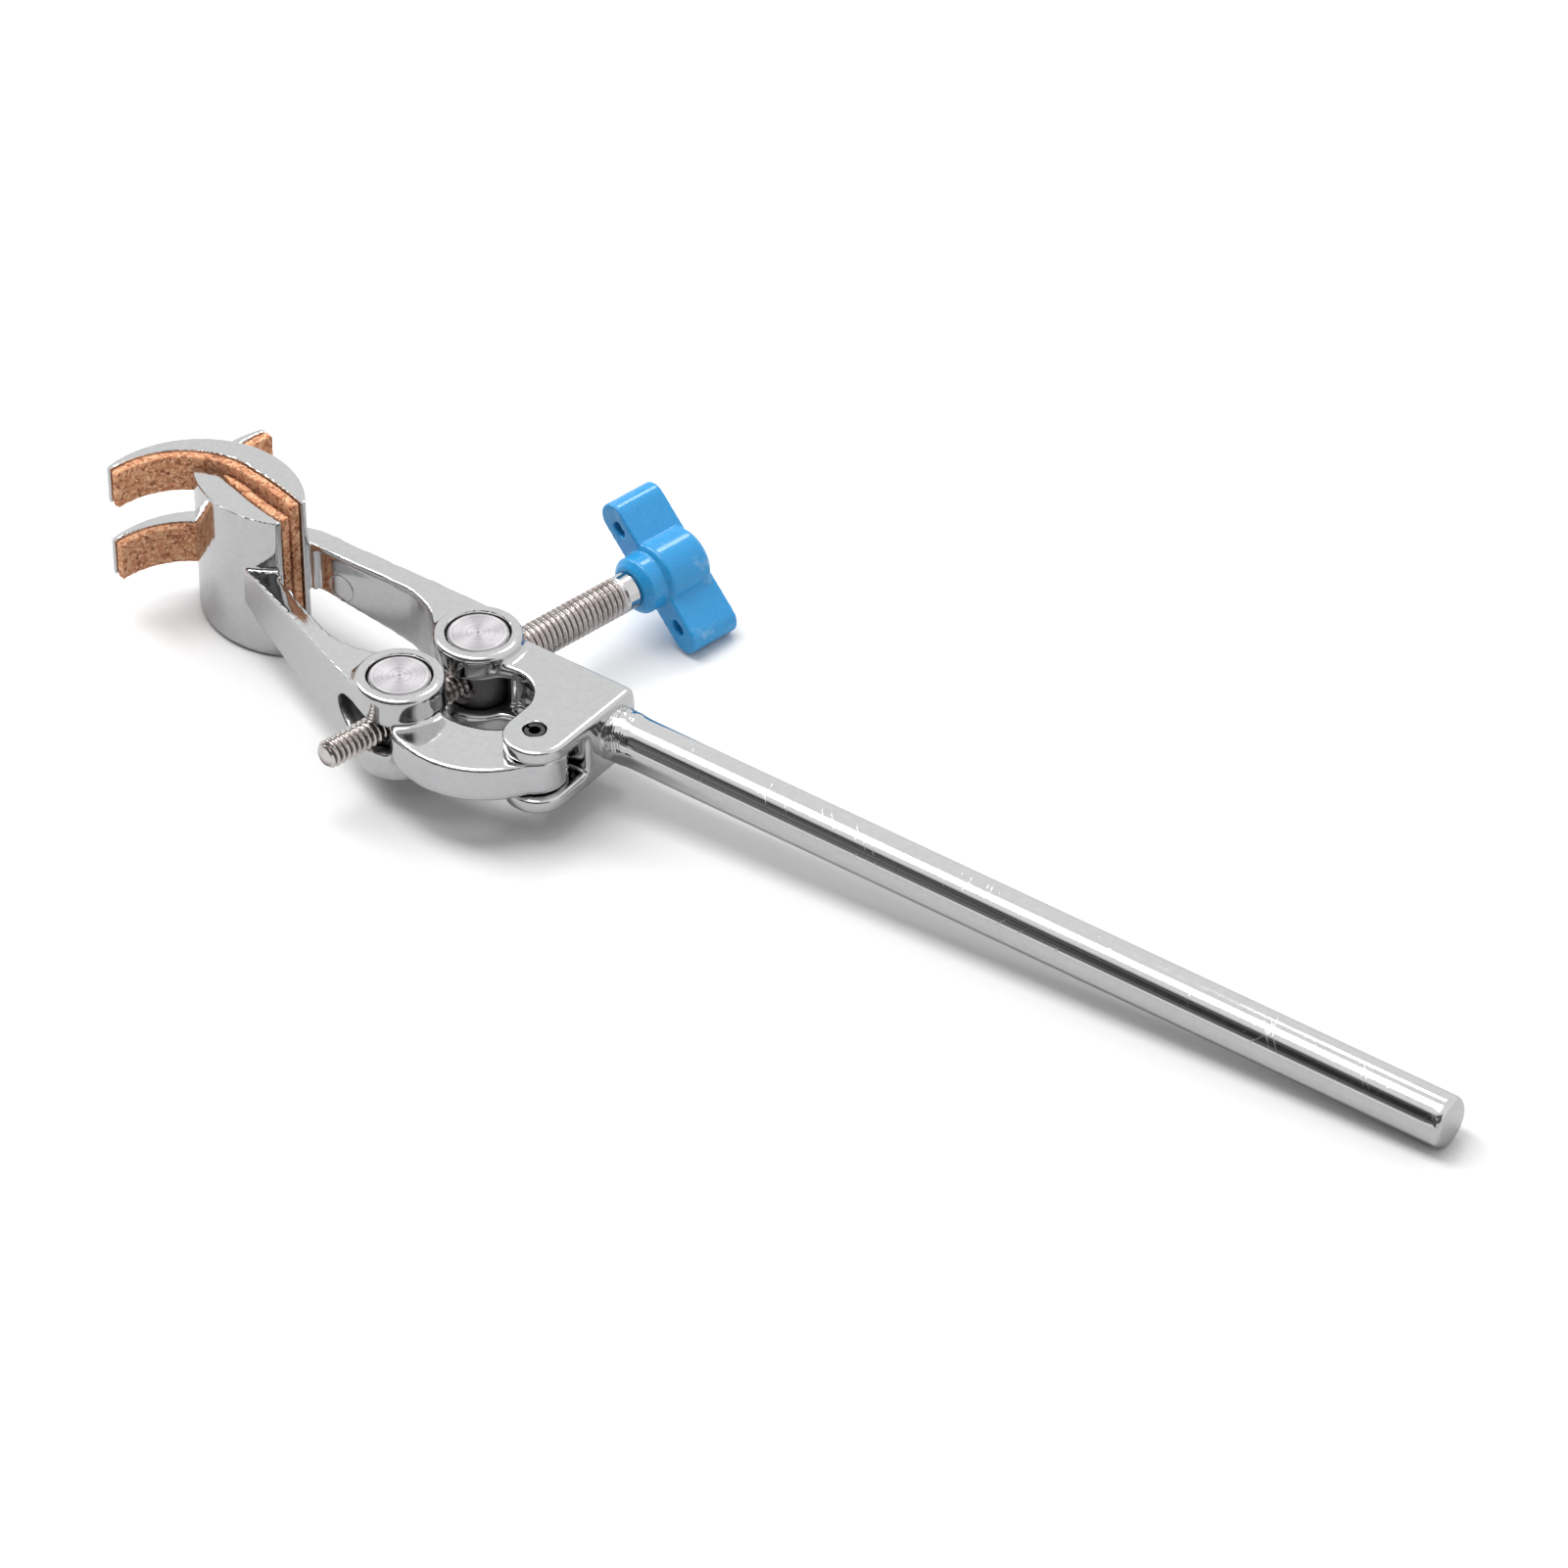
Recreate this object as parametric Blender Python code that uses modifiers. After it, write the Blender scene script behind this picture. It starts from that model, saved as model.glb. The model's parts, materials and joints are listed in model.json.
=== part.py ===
"""Four-prong laboratory clamp on a support rod, with cork-lined jaws.

The origin is the centre of the rod's free end. +X runs along the rod towards the jaws, +Z runs
up the hinge pin, and +Y is the side of the swinging lever. Sizes are in millimetres and degrees.
Plans are drawn about the hinge pin, with x along the rod or along the line where the jaws meet.
"""
from collections import namedtuple
from math import asin, atan2, cos, degrees, radians, sin, sqrt

import bmesh
import bpy
import numpy as np
from mathutils import Matrix, Vector

MM = 0.001
GAP = 0.3  # clearance between pieces that touch or turn in each other
FAR = 60.0  # how far a cutter runs past what it cuts

# support rod
ROD_DIAMETER = 10.0
ROD_LENGTH = 184.2  # free end to the rear face of the head
ROD_END_ROUND = 1.4
ROD_SPIGOT_DIAMETER = 7.0
ROD_SPIGOT_LENGTH = 11.0

# hinge
PIN_BEHIND = 7.3  # rear face of the head to the hinge pin
PIN_OFFSET = 15.4  # rod axis to the hinge pin
PIN_DIAMETER = 3.9
PIN_WALL = 0.8
PIN_SLIT = 24.0  # angle of the rolled pin's slit
PIN_SUNK = 0.25  # its ends lie this far inside the clevis faces

# head
CLEVIS_HALF_HEIGHT = 7.3
CLEVIS_SLOT_HALF = 4.1
EAR_RADIUS = 6.45
EAR_TOP = 7.0  # hinge pin to the ear's front edge
THROAT_RADIUS = 7.6
THROAT_DEPTH = 11.8  # hinge pin down to the throat's lowest point
THROAT_END = -58.0  # angle where the throat runs into the boss
REAR_EDGE = 5.0  # rod axis to the head's rear edge
REAR_BULGE = 2.0  # how far the rear wall bows out between its edges
REAR_CORNER = 2.5
WEB_STEP = 13.3  # rear face to the step between block and web
WEB_FACE = 0.3  # rod axis to the web's inner face

# bosses and the barrel nuts that turn in them, both at the same reach from the hinge pin
NUT_REACH = 28.8
FIXED_NUT_ANGLE = -30.4
MOVING_NUT_ANGLE = 8.7
BOSS_RADIUS = 8.66
BOSS_HALF_HEIGHT = 9.6
BOSS_EDGE = 0.5
NUT_RADIUS = 6.0
NUT_SUNK = 0.25
NUT_EDGE = 0.35

# adjusting screw, measured along its axis from the fixed nut
THICK_THREAD_DIAMETER = 7.5
THIN_THREAD_DIAMETER = 5.6
THREAD_CHANGE = 4.0
SCREW_TIP = 37.8
SCREW_TIP_CHAMFER = 0.8
COLLAR_START = 34.4
COLLAR_LENGTH = 3.4
SHANK_DIAMETER = 5.0
SHANK_LENGTH = 14.0
LEVER_SWING = 50.0
SLOT_SPARE = 1.5  # angle of slot left past the screw's own swing, behind the nuts
SLOT_SPARE_FRONT = 14.0  # the same in front of the nuts
SLOT_SPARE_THROAT = 40.0  # and towards the throat

# wing knob
HUB_DIAMETER = 11.6
HUB_LENGTH = 4.6
HUB_EDGE = 1.4
BARREL_DIAMETER = 14.0
BARREL_EDGE = 1.2
BARREL_SUNK = 0.2  # the wings stand this far past the barrel at both ends
WING_LENGTH = 11.1
WING_HALF_SPAN = 16.5
WING_THICKNESS = 6.6
WING_EDGE = 0.9
WING_TILT = -40.8
CORE_PLACE = 10.9  # knob axis to the oval core holes
CORE_LENGTH = 3.4
CORE_WIDTH = 2.2
CORE_DEPTH = 6.0

# lever link
LINK_HALF_HEIGHT = 3.8
KNUCKLE_RADIUS = 6.2
LINK_OUTER_CENTRE = (14.0, -3.2)
LINK_OUTER_RADIUS = 18.95
LINK_INNER_CENTRE = (17.2, -11.7)
LINK_INNER_RADIUS = 14.8

# arms, measured from their nut along the arm
FIXED_ARM_ANGLE = -1.5
MOVING_ARM_ANGLE = -25.7
ARM_WIDTH = 4.86
ARM_JOIN = 46.0  # where the arm's inner side runs into the jaw
ARM_ROOT = 7.0  # how far the arm runs on inside the jaw
ARM_FLARE_START = 25.0
ARM_FLARE_END = (7.5, 4.3)
ARM_FLARE_POWER = 2.8
ARM_HALF_HEIGHT_BOSS = 8.7
ARM_HALF_HEIGHT_JOIN = 5.3
ARM_HALF_HEIGHT_END = 3.4
ARM_RISE = 1.5  # how far the arm's middle climbs towards its jaw
LIP_HEIGHT = 1.3  # the arm's inner side is cut back below a lip along one edge
RECESS_DEPTH = 1.0
RECESS_SHORT = 2.0  # where the recess stops, short of the join

# jaws, measured from the hinge pin along the line where they meet
CLOSING_ANGLE = -12.6
JAW_ROOT = 72.7
JAW_TIP = 18.6  # how far a prong's tip reaches past the meeting line
JAW_OUTER_CENTRE = (85.8, 12.9)
JAW_OUTER_RADIUS = 21.1
CURL_START = 87.0
CURL_RADIUS = 18.25
EYE_DEPTH = 0.42  # the hollow in the jaw faces between root and curl
CORK_THICKNESS = 2.0
CORK_APART = 0.3  # between the two corks when the clamp is shut
PRONG_HEIGHT = 8.2
PRONG_APART = 0.35  # between crossing prongs, one above the other
PRONG_CLEARANCE = 0.45  # between a palm's end and the prong that crosses it
PALM_STEP = 2.0  # a palm is this much shorter than the four prongs together

ROUND_STEPS = 48
SMALL_ROUND_STEPS = 24
ARC_STEP = 8.0
CURL_STEP = 5.0
ROD_EDGE_STEP = 22.5
PIN_STEP = 15.0
OVAL_STEP = 20.0


def polar(radius, angle):
    return Vector((radius * cos(radians(angle)), radius * sin(radians(angle))))


def angle_of(vector):
    return degrees(atan2(vector[1], vector[0]))


# places that follow from the sizes, in the plan
HINGE = Vector((ROD_LENGTH + PIN_BEHIND, PIN_OFFSET))
FIXED_NUT = HINGE + polar(NUT_REACH, FIXED_NUT_ANGLE)
MOVING_NUT = HINGE + polar(NUT_REACH, MOVING_NUT_ANGLE)
SCREW_ANGLE = (FIXED_NUT_ANGLE + MOVING_NUT_ANGLE) / 2 + 90
ARM_LENGTH = ARM_JOIN + ARM_ROOT
SEAT = CORK_APART / 2 + CORK_THICKNESS + GAP  # meeting line to the metal face of a jaw
CURL_CENTRE = Vector((CURL_START, CURL_RADIUS - SEAT))
UPPER_PRONG = 1.5 * PRONG_APART + PRONG_HEIGHT  # lower side of a jaw's outermost prong
JAW_EDGE = UPPER_PRONG + PRONG_HEIGHT  # its upper side
KNOB_START = COLLAR_START + COLLAR_LENGTH
HUB_END = KNOB_START + HUB_LENGTH
KNOB_END = HUB_END + WING_LENGTH


def upright(centre, angle=0.0):
    """A frame at a point of the plan, turned about +Z."""
    return Matrix.Translation((centre[0], centre[1], 0)) @ Matrix.Rotation(radians(angle), 4, 'Z')


def side_view(frame):
    """A frame that looks at another from its side: x stays, and y is up."""
    return frame @ Matrix.Rotation(radians(90), 4, 'X')


ROD_FRAME = Matrix.Rotation(radians(90), 4, 'Y')
HEAD_FRAME = upright(HINGE)
SCREW_FRAME = side_view(upright(FIXED_NUT, SCREW_ANGLE + 90))

# one side of the clamp: its frame on the meeting line, and its nut and arm seen in that frame
Side = namedtuple('Side', 'frame nut arm_angle')
CLOSING_FRAME = upright(HINGE, CLOSING_ANGLE)
FIXED_SIDE = Side(CLOSING_FRAME, polar(NUT_REACH, FIXED_NUT_ANGLE - CLOSING_ANGLE),
                  FIXED_ARM_ANGLE - CLOSING_ANGLE)
MOVING_SIDE = Side(CLOSING_FRAME @ Matrix.Rotation(radians(180), 4, 'X'),
                   polar(NUT_REACH, CLOSING_ANGLE - MOVING_NUT_ANGLE),
                   CLOSING_ANGLE - MOVING_ARM_ANGLE)


def clear_scene():
    for item in list(bpy.data.objects):
        bpy.data.objects.remove(item, do_unlink=True)


def new_collection(name):
    collection = bpy.data.collections.new(name)
    bpy.context.scene.collection.children.link(collection)
    return collection


def material(name, colour, metallic, roughness):
    made = bpy.data.materials.new(name)
    made.use_nodes = True
    shader = made.node_tree.nodes['Principled BSDF']
    shader.inputs['Base Color'].default_value = (*colour, 1)
    shader.inputs['Metallic'].default_value = metallic
    shader.inputs['Roughness'].default_value = roughness
    return made


def add_solid(name, mesh, frame):
    """A construction solid in the cutters' collection, standing in its frame."""
    item = bpy.data.objects.new(name, mesh)
    place = frame.copy()
    place.translation = frame.translation * MM
    item.matrix_world = place
    item.hide_render = True
    item.display_type = 'WIRE'
    cutters.objects.link(item)
    return item


def finish(item, name, surface):
    """Turn a construction solid into a piece of the clamp."""
    cutters.objects.unlink(item)
    clamp.objects.link(item)
    item.name = name
    item.hide_render = False
    item.display_type = 'TEXTURED'
    item.data.materials.append(surface)
    item.data.shade_smooth()
    item.data.set_sharp_from_angle(angle=radians(35))
    return item


def arc(centre, radius, start, end, step=ARC_STEP):
    count = max(2, round(abs(end - start) / step) + 1)
    return [Vector(centre) + polar(radius, angle) for angle in np.linspace(start, end, count)]


def circles_meet(first, first_radius, second, second_radius):
    """Where two circles cross, on the left of the way from the first to the second."""
    across = Vector(second) - Vector(first)
    along = (first_radius ** 2 - second_radius ** 2 + across.length ** 2) / (2 * across.length)
    high = sqrt(max(0.0, first_radius ** 2 - along ** 2))
    ahead = across.normalized()
    return Vector(first) + ahead * along + Vector((-ahead.y, ahead.x)) * high


def outline_solid(name, points, low, high, frame=Matrix()):
    """A flat outline in the frame's x and y, carried from low to high along its z."""
    curve = bpy.data.curves.new(name, 'CURVE')
    curve.dimensions = '2D'
    curve.fill_mode = 'BOTH'
    curve.extrude = (high - low) / 2 * MM
    spline = curve.splines.new('POLY')
    spline.points.add(len(points) - 1)
    for place, point in zip(spline.points, points):
        place.co = (point[0] * MM, point[1] * MM, 0, 1)
    spline.use_cyclic_u = True
    guide = bpy.data.objects.new(name + '_guide', curve)
    cutters.objects.link(guide)
    graph = bpy.context.evaluated_depsgraph_get()
    mesh = bpy.data.meshes.new_from_object(guide.evaluated_get(graph))
    bpy.data.objects.remove(guide, do_unlink=True)
    mesh.transform(Matrix.Translation((0, 0, (low + high) / 2 * MM)))
    work = bmesh.new()
    work.from_mesh(mesh)
    bmesh.ops.remove_doubles(work, verts=work.verts, dist=0.001 * MM)
    bmesh.ops.recalc_face_normals(work, faces=work.faces)
    work.to_mesh(mesh)
    work.free()
    return add_solid(name, mesh, frame)


def turned_solid(name, profile, frame, steps=ROUND_STEPS):
    """A profile of (radius, height) points, top to bottom, turned about the frame's z."""
    mesh = bpy.data.meshes.new(name)
    points = [(radius * MM, 0, height * MM) for radius, height in profile]
    mesh.from_pydata(points, [(i, i + 1) for i in range(len(points) - 1)], [])
    item = add_solid(name, mesh, frame)
    turn = item.modifiers.new('turn', 'SCREW')
    turn.steps = steps
    turn.render_steps = steps
    turn.use_merge_vertices = True
    turn.merge_threshold = 0.001 * MM
    return item


def cylinder(name, radius, low, high, frame, steps=ROUND_STEPS):
    work = bmesh.new()
    middle = Matrix.Translation((0, 0, (low + high) / 2 * MM))
    bmesh.ops.create_cone(work, cap_ends=True, segments=steps, radius1=radius * MM,
                          radius2=radius * MM, depth=(high - low) * MM, matrix=middle)
    mesh = bpy.data.meshes.new(name)
    work.to_mesh(mesh)
    work.free()
    return add_solid(name, mesh, frame)


def combine(target, tool, operation):
    step = target.modifiers.new(tool.name, 'BOOLEAN')
    step.operation = operation
    step.object = tool
    seam = target.modifiers.new(tool.name + '_seam', 'WELD')
    seam.merge_threshold = 0.001 * MM


def join(target, *tools):
    for tool in tools:
        combine(target, tool, 'UNION')


def cut(target, *tools):
    for tool in tools:
        combine(target, tool, 'DIFFERENCE')


def keep_common(target, *tools):
    for tool in tools:
        combine(target, tool, 'INTERSECT')


def round_edges(item, width, segments=2):
    bevel = item.modifiers.new('edges', 'BEVEL')
    bevel.width = width * MM
    bevel.segments = segments
    bevel.limit_method = 'ANGLE'
    bevel.angle_limit = radians(50)


def closed_profile(half):
    """The (radius, height) profile of a turned solid that is the same above and below."""
    return half + [(radius, -height) for radius, height in reversed(half)]


# head

def clevis_plan():
    """The ear round the pin, the throat that the link swings in, and the rear edge."""
    rear = -PIN_BEHIND
    edge = -PIN_OFFSET - REAR_EDGE - REAR_BULGE
    nut = FIXED_NUT - HINGE
    ear = Vector((rear + EAR_RADIUS, EAR_TOP - EAR_RADIUS))
    throat = Vector((ear.x + EAR_RADIUS + THROAT_RADIUS, THROAT_RADIUS - THROAT_DEPTH))
    corner = (rear + REAR_CORNER, edge + REAR_CORNER)
    points = arc(corner, REAR_CORNER, 180, 270)
    points += [Vector((nut.x, edge)), nut]
    points += arc(throat, THROAT_RADIUS, THROAT_END, -180)
    points += arc(ear, EAR_RADIUS, 0, 180)
    return points


def clevis_slot():
    """The space between the clevis plates, in front of the block and the web."""
    block = -KNUCKLE_RADIUS - GAP
    step = WEB_STEP - PIN_BEHIND
    web = WEB_FACE - PIN_OFFSET
    points = [(-FAR, block), (step, block), (step, web), (FAR, web), (FAR, FAR), (-FAR, FAR)]
    return outline_solid('clevis_slot', points, -CLEVIS_SLOT_HALF, CLEVIS_SLOT_HALF, HEAD_FRAME)


def clevis_section():
    """The head seen along the rod: flat plates and a bowed rear wall."""
    half = CLEVIS_HALF_HEIGHT
    radius = (half ** 2 + REAR_BULGE ** 2) / (2 * REAR_BULGE)
    spread = degrees(atan2(half, radius - REAR_BULGE))
    centre = Vector((radius - REAR_EDGE - REAR_BULGE, 0))
    points = arc(centre, radius, 180 - spread, 180 + spread)
    points += [(FAR, -half), (FAR, half)]
    looking_along = Matrix(((0, 0, 1, 0), (1, 0, 0, 0), (0, 1, 0, 0), (0, 0, 0, 1)))
    return outline_solid('clevis_section', points, ROD_LENGTH - FAR, ROD_LENGTH + 2 * FAR, looking_along)


def boss(name, nut):
    edge = BOSS_EDGE
    top = BOSS_HALF_HEIGHT
    half = [(0, top), (BOSS_RADIUS - edge, top), (BOSS_RADIUS, top - edge)]
    return turned_solid(name, closed_profile(half), upright(nut))


def nut_bore(name, nut):
    return cylinder(name, NUT_RADIUS + GAP, -FAR, FAR, upright(nut))


def pin_bore(name):
    return cylinder(name, PIN_DIAMETER / 2 + GAP, -FAR, FAR, HEAD_FRAME, SMALL_ROUND_STEPS)


def screw_slots(name, nut, thread_diameter, swing, spare_right, spare_left):
    """The two fans through a boss that let the screw turn with its nut, the front one wider."""
    half = thread_diameter / 2 + GAP
    reach = FAR / 3
    fans = []
    for turn, before, after in ((0, spare_right, spare_left), (180, SLOT_SPARE, SLOT_SPARE)):
        start = SCREW_ANGLE + turn + min(swing, 0) - before
        end = SCREW_ANGLE + turn + max(swing, 0) + after
        first = polar(1, start)
        last = polar(1, end)
        right = Vector((first.y, -first.x)) * half
        left = Vector((-last.y, last.x)) * half
        points = [right, right + first * reach]
        points += arc((0, 0), reach + half, start, end)
        points += [left + last * reach, left]
        fans.append(outline_solid(name, points, -half, half, upright(nut)))
    return fans


# arms and jaws, the same for both sides of the clamp

def arm_frame(side):
    return side.frame @ upright(side.nut, side.arm_angle)


def arm_side(stations):
    """The tapering arm's upper and lower edge seen from its side, at some distances from the nut."""
    known = [0, ARM_JOIN, ARM_LENGTH]
    halves = [ARM_HALF_HEIGHT_BOSS, ARM_HALF_HEIGHT_JOIN, ARM_HALF_HEIGHT_END]
    upper = []
    lower = []
    for x in stations:
        half = float(np.interp(x, known, halves))
        middle = float(np.interp(x, known, [0, ARM_RISE, ARM_RISE]))
        upper.append((x, middle + half))
        lower.append((x, middle - half))
    return upper, lower


def arm_inner_side(start, depth=0.0):
    """From near the jaw to where the arm flares into its boss, cut back by a depth that runs out there."""
    inner = ARM_WIDTH - BOSS_RADIUS
    end_x, end_y = ARM_FLARE_END
    points = [(start, inner - depth)]
    for share in np.linspace(0, 1, 9):
        rise = (end_y - inner) * share ** ARM_FLARE_POWER - depth * (1 - share ** 2)
        points.append((ARM_FLARE_START + (end_x - ARM_FLARE_START) * share, inner + rise))
    return points


def arm(name, side):
    """A bar whose outer side is tangent to the boss and whose inner side flares into it."""
    outer = -BOSS_RADIUS
    points = [(0, outer), (ARM_LENGTH, outer), (ARM_LENGTH, outer + ARM_WIDTH / 2)]
    points += arm_inner_side(ARM_JOIN)
    points.append((0, 0))
    bar = outline_solid(name, points, -FAR / 4, FAR / 4, arm_frame(side))
    upper, lower = arm_side([-BOSS_RADIUS, 0, ARM_JOIN, ARM_LENGTH + 1])
    keep_common(bar, outline_solid(name + '_taper', upper + lower[::-1], -FAR, FAR,
                                   side_view(arm_frame(side))))
    return bar


def arm_recess(name, side):
    """What is cut from an arm's inner side, all but a lip along one edge."""
    stop = ARM_JOIN - RECESS_SHORT
    plan = [(ARM_FLARE_END[0], FAR / 4), (stop, FAR / 4)] + arm_inner_side(stop, RECESS_DEPTH)
    recess = outline_solid(name, plan, -FAR / 2, FAR / 2, arm_frame(side))
    lip = [(x, y - LIP_HEIGHT) for x, y in arm_side([0, ARM_JOIN])[0]]
    below = lip + [(ARM_JOIN, -FAR), (0, -FAR)]
    keep_common(recess, outline_solid(name + '_lip', below, -FAR, FAR, side_view(arm_frame(side))))
    return recess


def seat_line(offset):
    """The jaw's metal face moved towards the meeting line: a shallow hollow, then the curl."""
    half_chord = (CURL_START - JAW_ROOT) / 2
    radius = (half_chord ** 2 + EYE_DEPTH ** 2) / (2 * EYE_DEPTH)
    centre = Vector((JAW_ROOT + half_chord, radius - SEAT - EYE_DEPTH))
    spread = degrees(atan2(half_chord, radius - EYE_DEPTH))
    curl = CURL_RADIUS - offset
    end = degrees(asin((JAW_TIP - CURL_CENTRE.y) / curl))
    points = arc(centre, radius - offset, -90 - spread, -90 + spread, spread / 2)
    return points[:-1] + arc(CURL_CENTRE, curl, -90, end, CURL_STEP)


def jaw_plan():
    centre = Vector(JAW_OUTER_CENTRE)
    back = JAW_ROOT - centre.x
    start = degrees(atan2(-sqrt(JAW_OUTER_RADIUS ** 2 - back ** 2), back))
    end = degrees(asin((JAW_TIP - centre.y) / JAW_OUTER_RADIUS))
    return arc(centre, JAW_OUTER_RADIUS, start, end, CURL_STEP) + seat_line(0)[::-1]


def cork_plan():
    return seat_line(GAP) + seat_line(GAP + CORK_THICKNESS)[::-1]


def crossing_cutters(name, side):
    """Clears the levels where the other jaw's prongs cross, and leaves the palm inside them."""
    radius = CURL_RADIUS - GAP - CORK_THICKNESS - PRONG_CLEARANCE
    other = (CURL_CENTRE.x, -CURL_CENTRE.y)
    points = [(CURL_START, FAR), (CURL_START + FAR, FAR), (CURL_START + FAR, -FAR), (CURL_START, -FAR)]
    points += arc(other, radius, -90, 90)
    levels = [(-PRONG_APART / 2, UPPER_PRONG), (-FAR, -PRONG_APART / 2 - PRONG_HEIGHT)]
    return [outline_solid(name, points, low, high, side.frame) for low, high in levels]


def palm_and_prongs(name, plan, side):
    """Two prongs on a palm, the height of the whole jaw less one step."""
    body = outline_solid(name, plan, PALM_STEP - JAW_EDGE, JAW_EDGE, side.frame)
    cut(body, *crossing_cutters(name + '_crossing', side))
    return body


def build_head():
    head = outline_solid('head', clevis_plan(), -BOSS_HALF_HEIGHT, BOSS_HALF_HEIGHT, HEAD_FRAME)
    keep_common(head, clevis_section())
    seat = cylinder('spigot_seat', ROD_SPIGOT_DIAMETER / 2 + GAP, 0,
                    ROD_LENGTH + ROD_SPIGOT_LENGTH + GAP, ROD_FRAME, SMALL_ROUND_STEPS)
    cut(head, clevis_slot(), pin_bore('clevis_bore'), seat)
    join(head, boss('fixed_boss', FIXED_NUT), arm('fixed_arm', FIXED_SIDE),
         palm_and_prongs('fixed_jaw', jaw_plan(), FIXED_SIDE))
    cut(head, nut_bore('fixed_bore', FIXED_NUT), arm_recess('fixed_recess', FIXED_SIDE),
        *screw_slots('fixed_slot', FIXED_NUT, THICK_THREAD_DIAMETER, LEVER_SWING / 2,
                     SLOT_SPARE_FRONT, SLOT_SPARE_THROAT))
    return finish(head, 'head_casting', chrome)


# swing lever

def link_plan():
    """A hooked link from the knuckle round the hinge pin to the moving boss."""
    nut = MOVING_NUT - HINGE
    outer = Vector(LINK_OUTER_CENTRE)
    inner = Vector(LINK_INNER_CENTRE)
    shoulder = circles_meet((0, 0), KNUCKLE_RADIUS, outer, LINK_OUTER_RADIUS)
    crook = circles_meet((0, 0), KNUCKLE_RADIUS, inner, LINK_INNER_RADIUS)
    outer_end = circles_meet(outer, LINK_OUTER_RADIUS, nut, BOSS_RADIUS - 1)
    inner_end = circles_meet(inner, LINK_INNER_RADIUS, nut, BOSS_RADIUS - 1)
    points = arc((0, 0), KNUCKLE_RADIUS, angle_of(shoulder), angle_of(crook) + 360)
    points += arc(inner, LINK_INNER_RADIUS, angle_of(crook - inner), angle_of(inner_end - inner))[1:]
    points.append(nut)
    points += arc(outer, LINK_OUTER_RADIUS, angle_of(outer_end - outer), angle_of(shoulder - outer))[:-1]
    return points


def build_lever():
    lever = outline_solid('lever', link_plan(), -LINK_HALF_HEIGHT, LINK_HALF_HEIGHT, HEAD_FRAME)
    cut(lever, pin_bore('knuckle_bore'))
    join(lever, boss('moving_boss', MOVING_NUT), arm('moving_arm', MOVING_SIDE),
         palm_and_prongs('moving_jaw', jaw_plan(), MOVING_SIDE))
    cut(lever, nut_bore('moving_bore', MOVING_NUT), arm_recess('moving_recess', MOVING_SIDE),
        *screw_slots('moving_slot', MOVING_NUT, THIN_THREAD_DIAMETER, -LEVER_SWING / 2,
                     SLOT_SPARE_FRONT, SLOT_SPARE_FRONT))
    return finish(lever, 'swing_lever', chrome)


# rod, pin, nuts and screw

def build_rod():
    radius = ROD_DIAMETER / 2
    spigot = ROD_SPIGOT_DIAMETER / 2
    shoulder = ROD_LENGTH - GAP
    profile = [(0, ROD_LENGTH + ROD_SPIGOT_LENGTH), (spigot, ROD_LENGTH + ROD_SPIGOT_LENGTH),
               (spigot, shoulder), (radius, shoulder)]
    corner = (radius - ROD_END_ROUND, ROD_END_ROUND)
    profile += [tuple(point) for point in arc(corner, ROD_END_ROUND, 0, -90, ROD_EDGE_STEP)]
    profile.append((0, 0))
    return finish(turned_solid('rod', profile, ROD_FRAME), 'support_rod', rod_chrome)


def build_hinge_pin():
    """A rolled spring pin with its slit."""
    start = PIN_SLIT / 2
    end = 360 - PIN_SLIT / 2
    outer = PIN_DIAMETER / 2
    points = arc((0, 0), outer, start, end, PIN_STEP)
    points += arc((0, 0), outer - PIN_WALL, end, start, PIN_STEP)
    half = CLEVIS_HALF_HEIGHT - PIN_SUNK
    return finish(outline_solid('pin', points, -half, half, HEAD_FRAME), 'hinge_pin', steel)


def build_nut(name, nut, thread_diameter):
    """A barrel nut, cross-drilled for the screw."""
    top = BOSS_HALF_HEIGHT - NUT_SUNK
    half = [(0, top), (NUT_RADIUS - NUT_EDGE, top), (NUT_RADIUS, top - NUT_EDGE)]
    body = turned_solid(name + '_body', closed_profile(half), upright(nut))
    across = side_view(upright(nut, SCREW_ANGLE + 90))
    cut(body, cylinder(name + '_hole', thread_diameter / 2 + GAP, -FAR, FAR, across, SMALL_ROUND_STEPS))
    return finish(body, name, aluminium)


def build_screw():
    """The thick thread, the thin thread at the tip, and the plain shank inside collar and knob."""
    thick = THICK_THREAD_DIAMETER / 2
    thin = THIN_THREAD_DIAMETER / 2
    edge = SCREW_TIP_CHAMFER
    shank = SHANK_DIAMETER / 2
    tail = -COLLAR_START - SHANK_LENGTH
    profile = [(0, SCREW_TIP), (thin - edge, SCREW_TIP), (thin, SCREW_TIP - edge),
               (thin, THREAD_CHANGE + edge), (thick, THREAD_CHANGE), (thick, -COLLAR_START),
               (shank, -COLLAR_START), (shank, tail), (0, tail)]
    return finish(turned_solid('screw', profile, SCREW_FRAME, SMALL_ROUND_STEPS), 'clamp_screw', steel)


def build_collar():
    near = -COLLAR_START - GAP
    far = -KNOB_START + GAP
    outer = THICK_THREAD_DIAMETER / 2
    edge = GAP
    profile = [(0, near), (outer - edge, near), (outer, near - edge), (outer, far), (0, far)]
    ring = turned_solid('collar', profile, SCREW_FRAME, SMALL_ROUND_STEPS)
    cut(ring, cylinder('collar_bore', SHANK_DIAMETER / 2 + GAP, -FAR, FAR, SCREW_FRAME, SMALL_ROUND_STEPS))
    return finish(ring, 'screw_collar', chrome)


# wing knob

def stadium(half_length, width):
    """A slot-shaped outline with round ends."""
    radius = width / 2
    middle = half_length - radius
    points = arc((middle, 0), radius, -90, 90, OVAL_STEP)
    return points + arc((-middle, 0), radius, 90, 270, OVAL_STEP)


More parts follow.
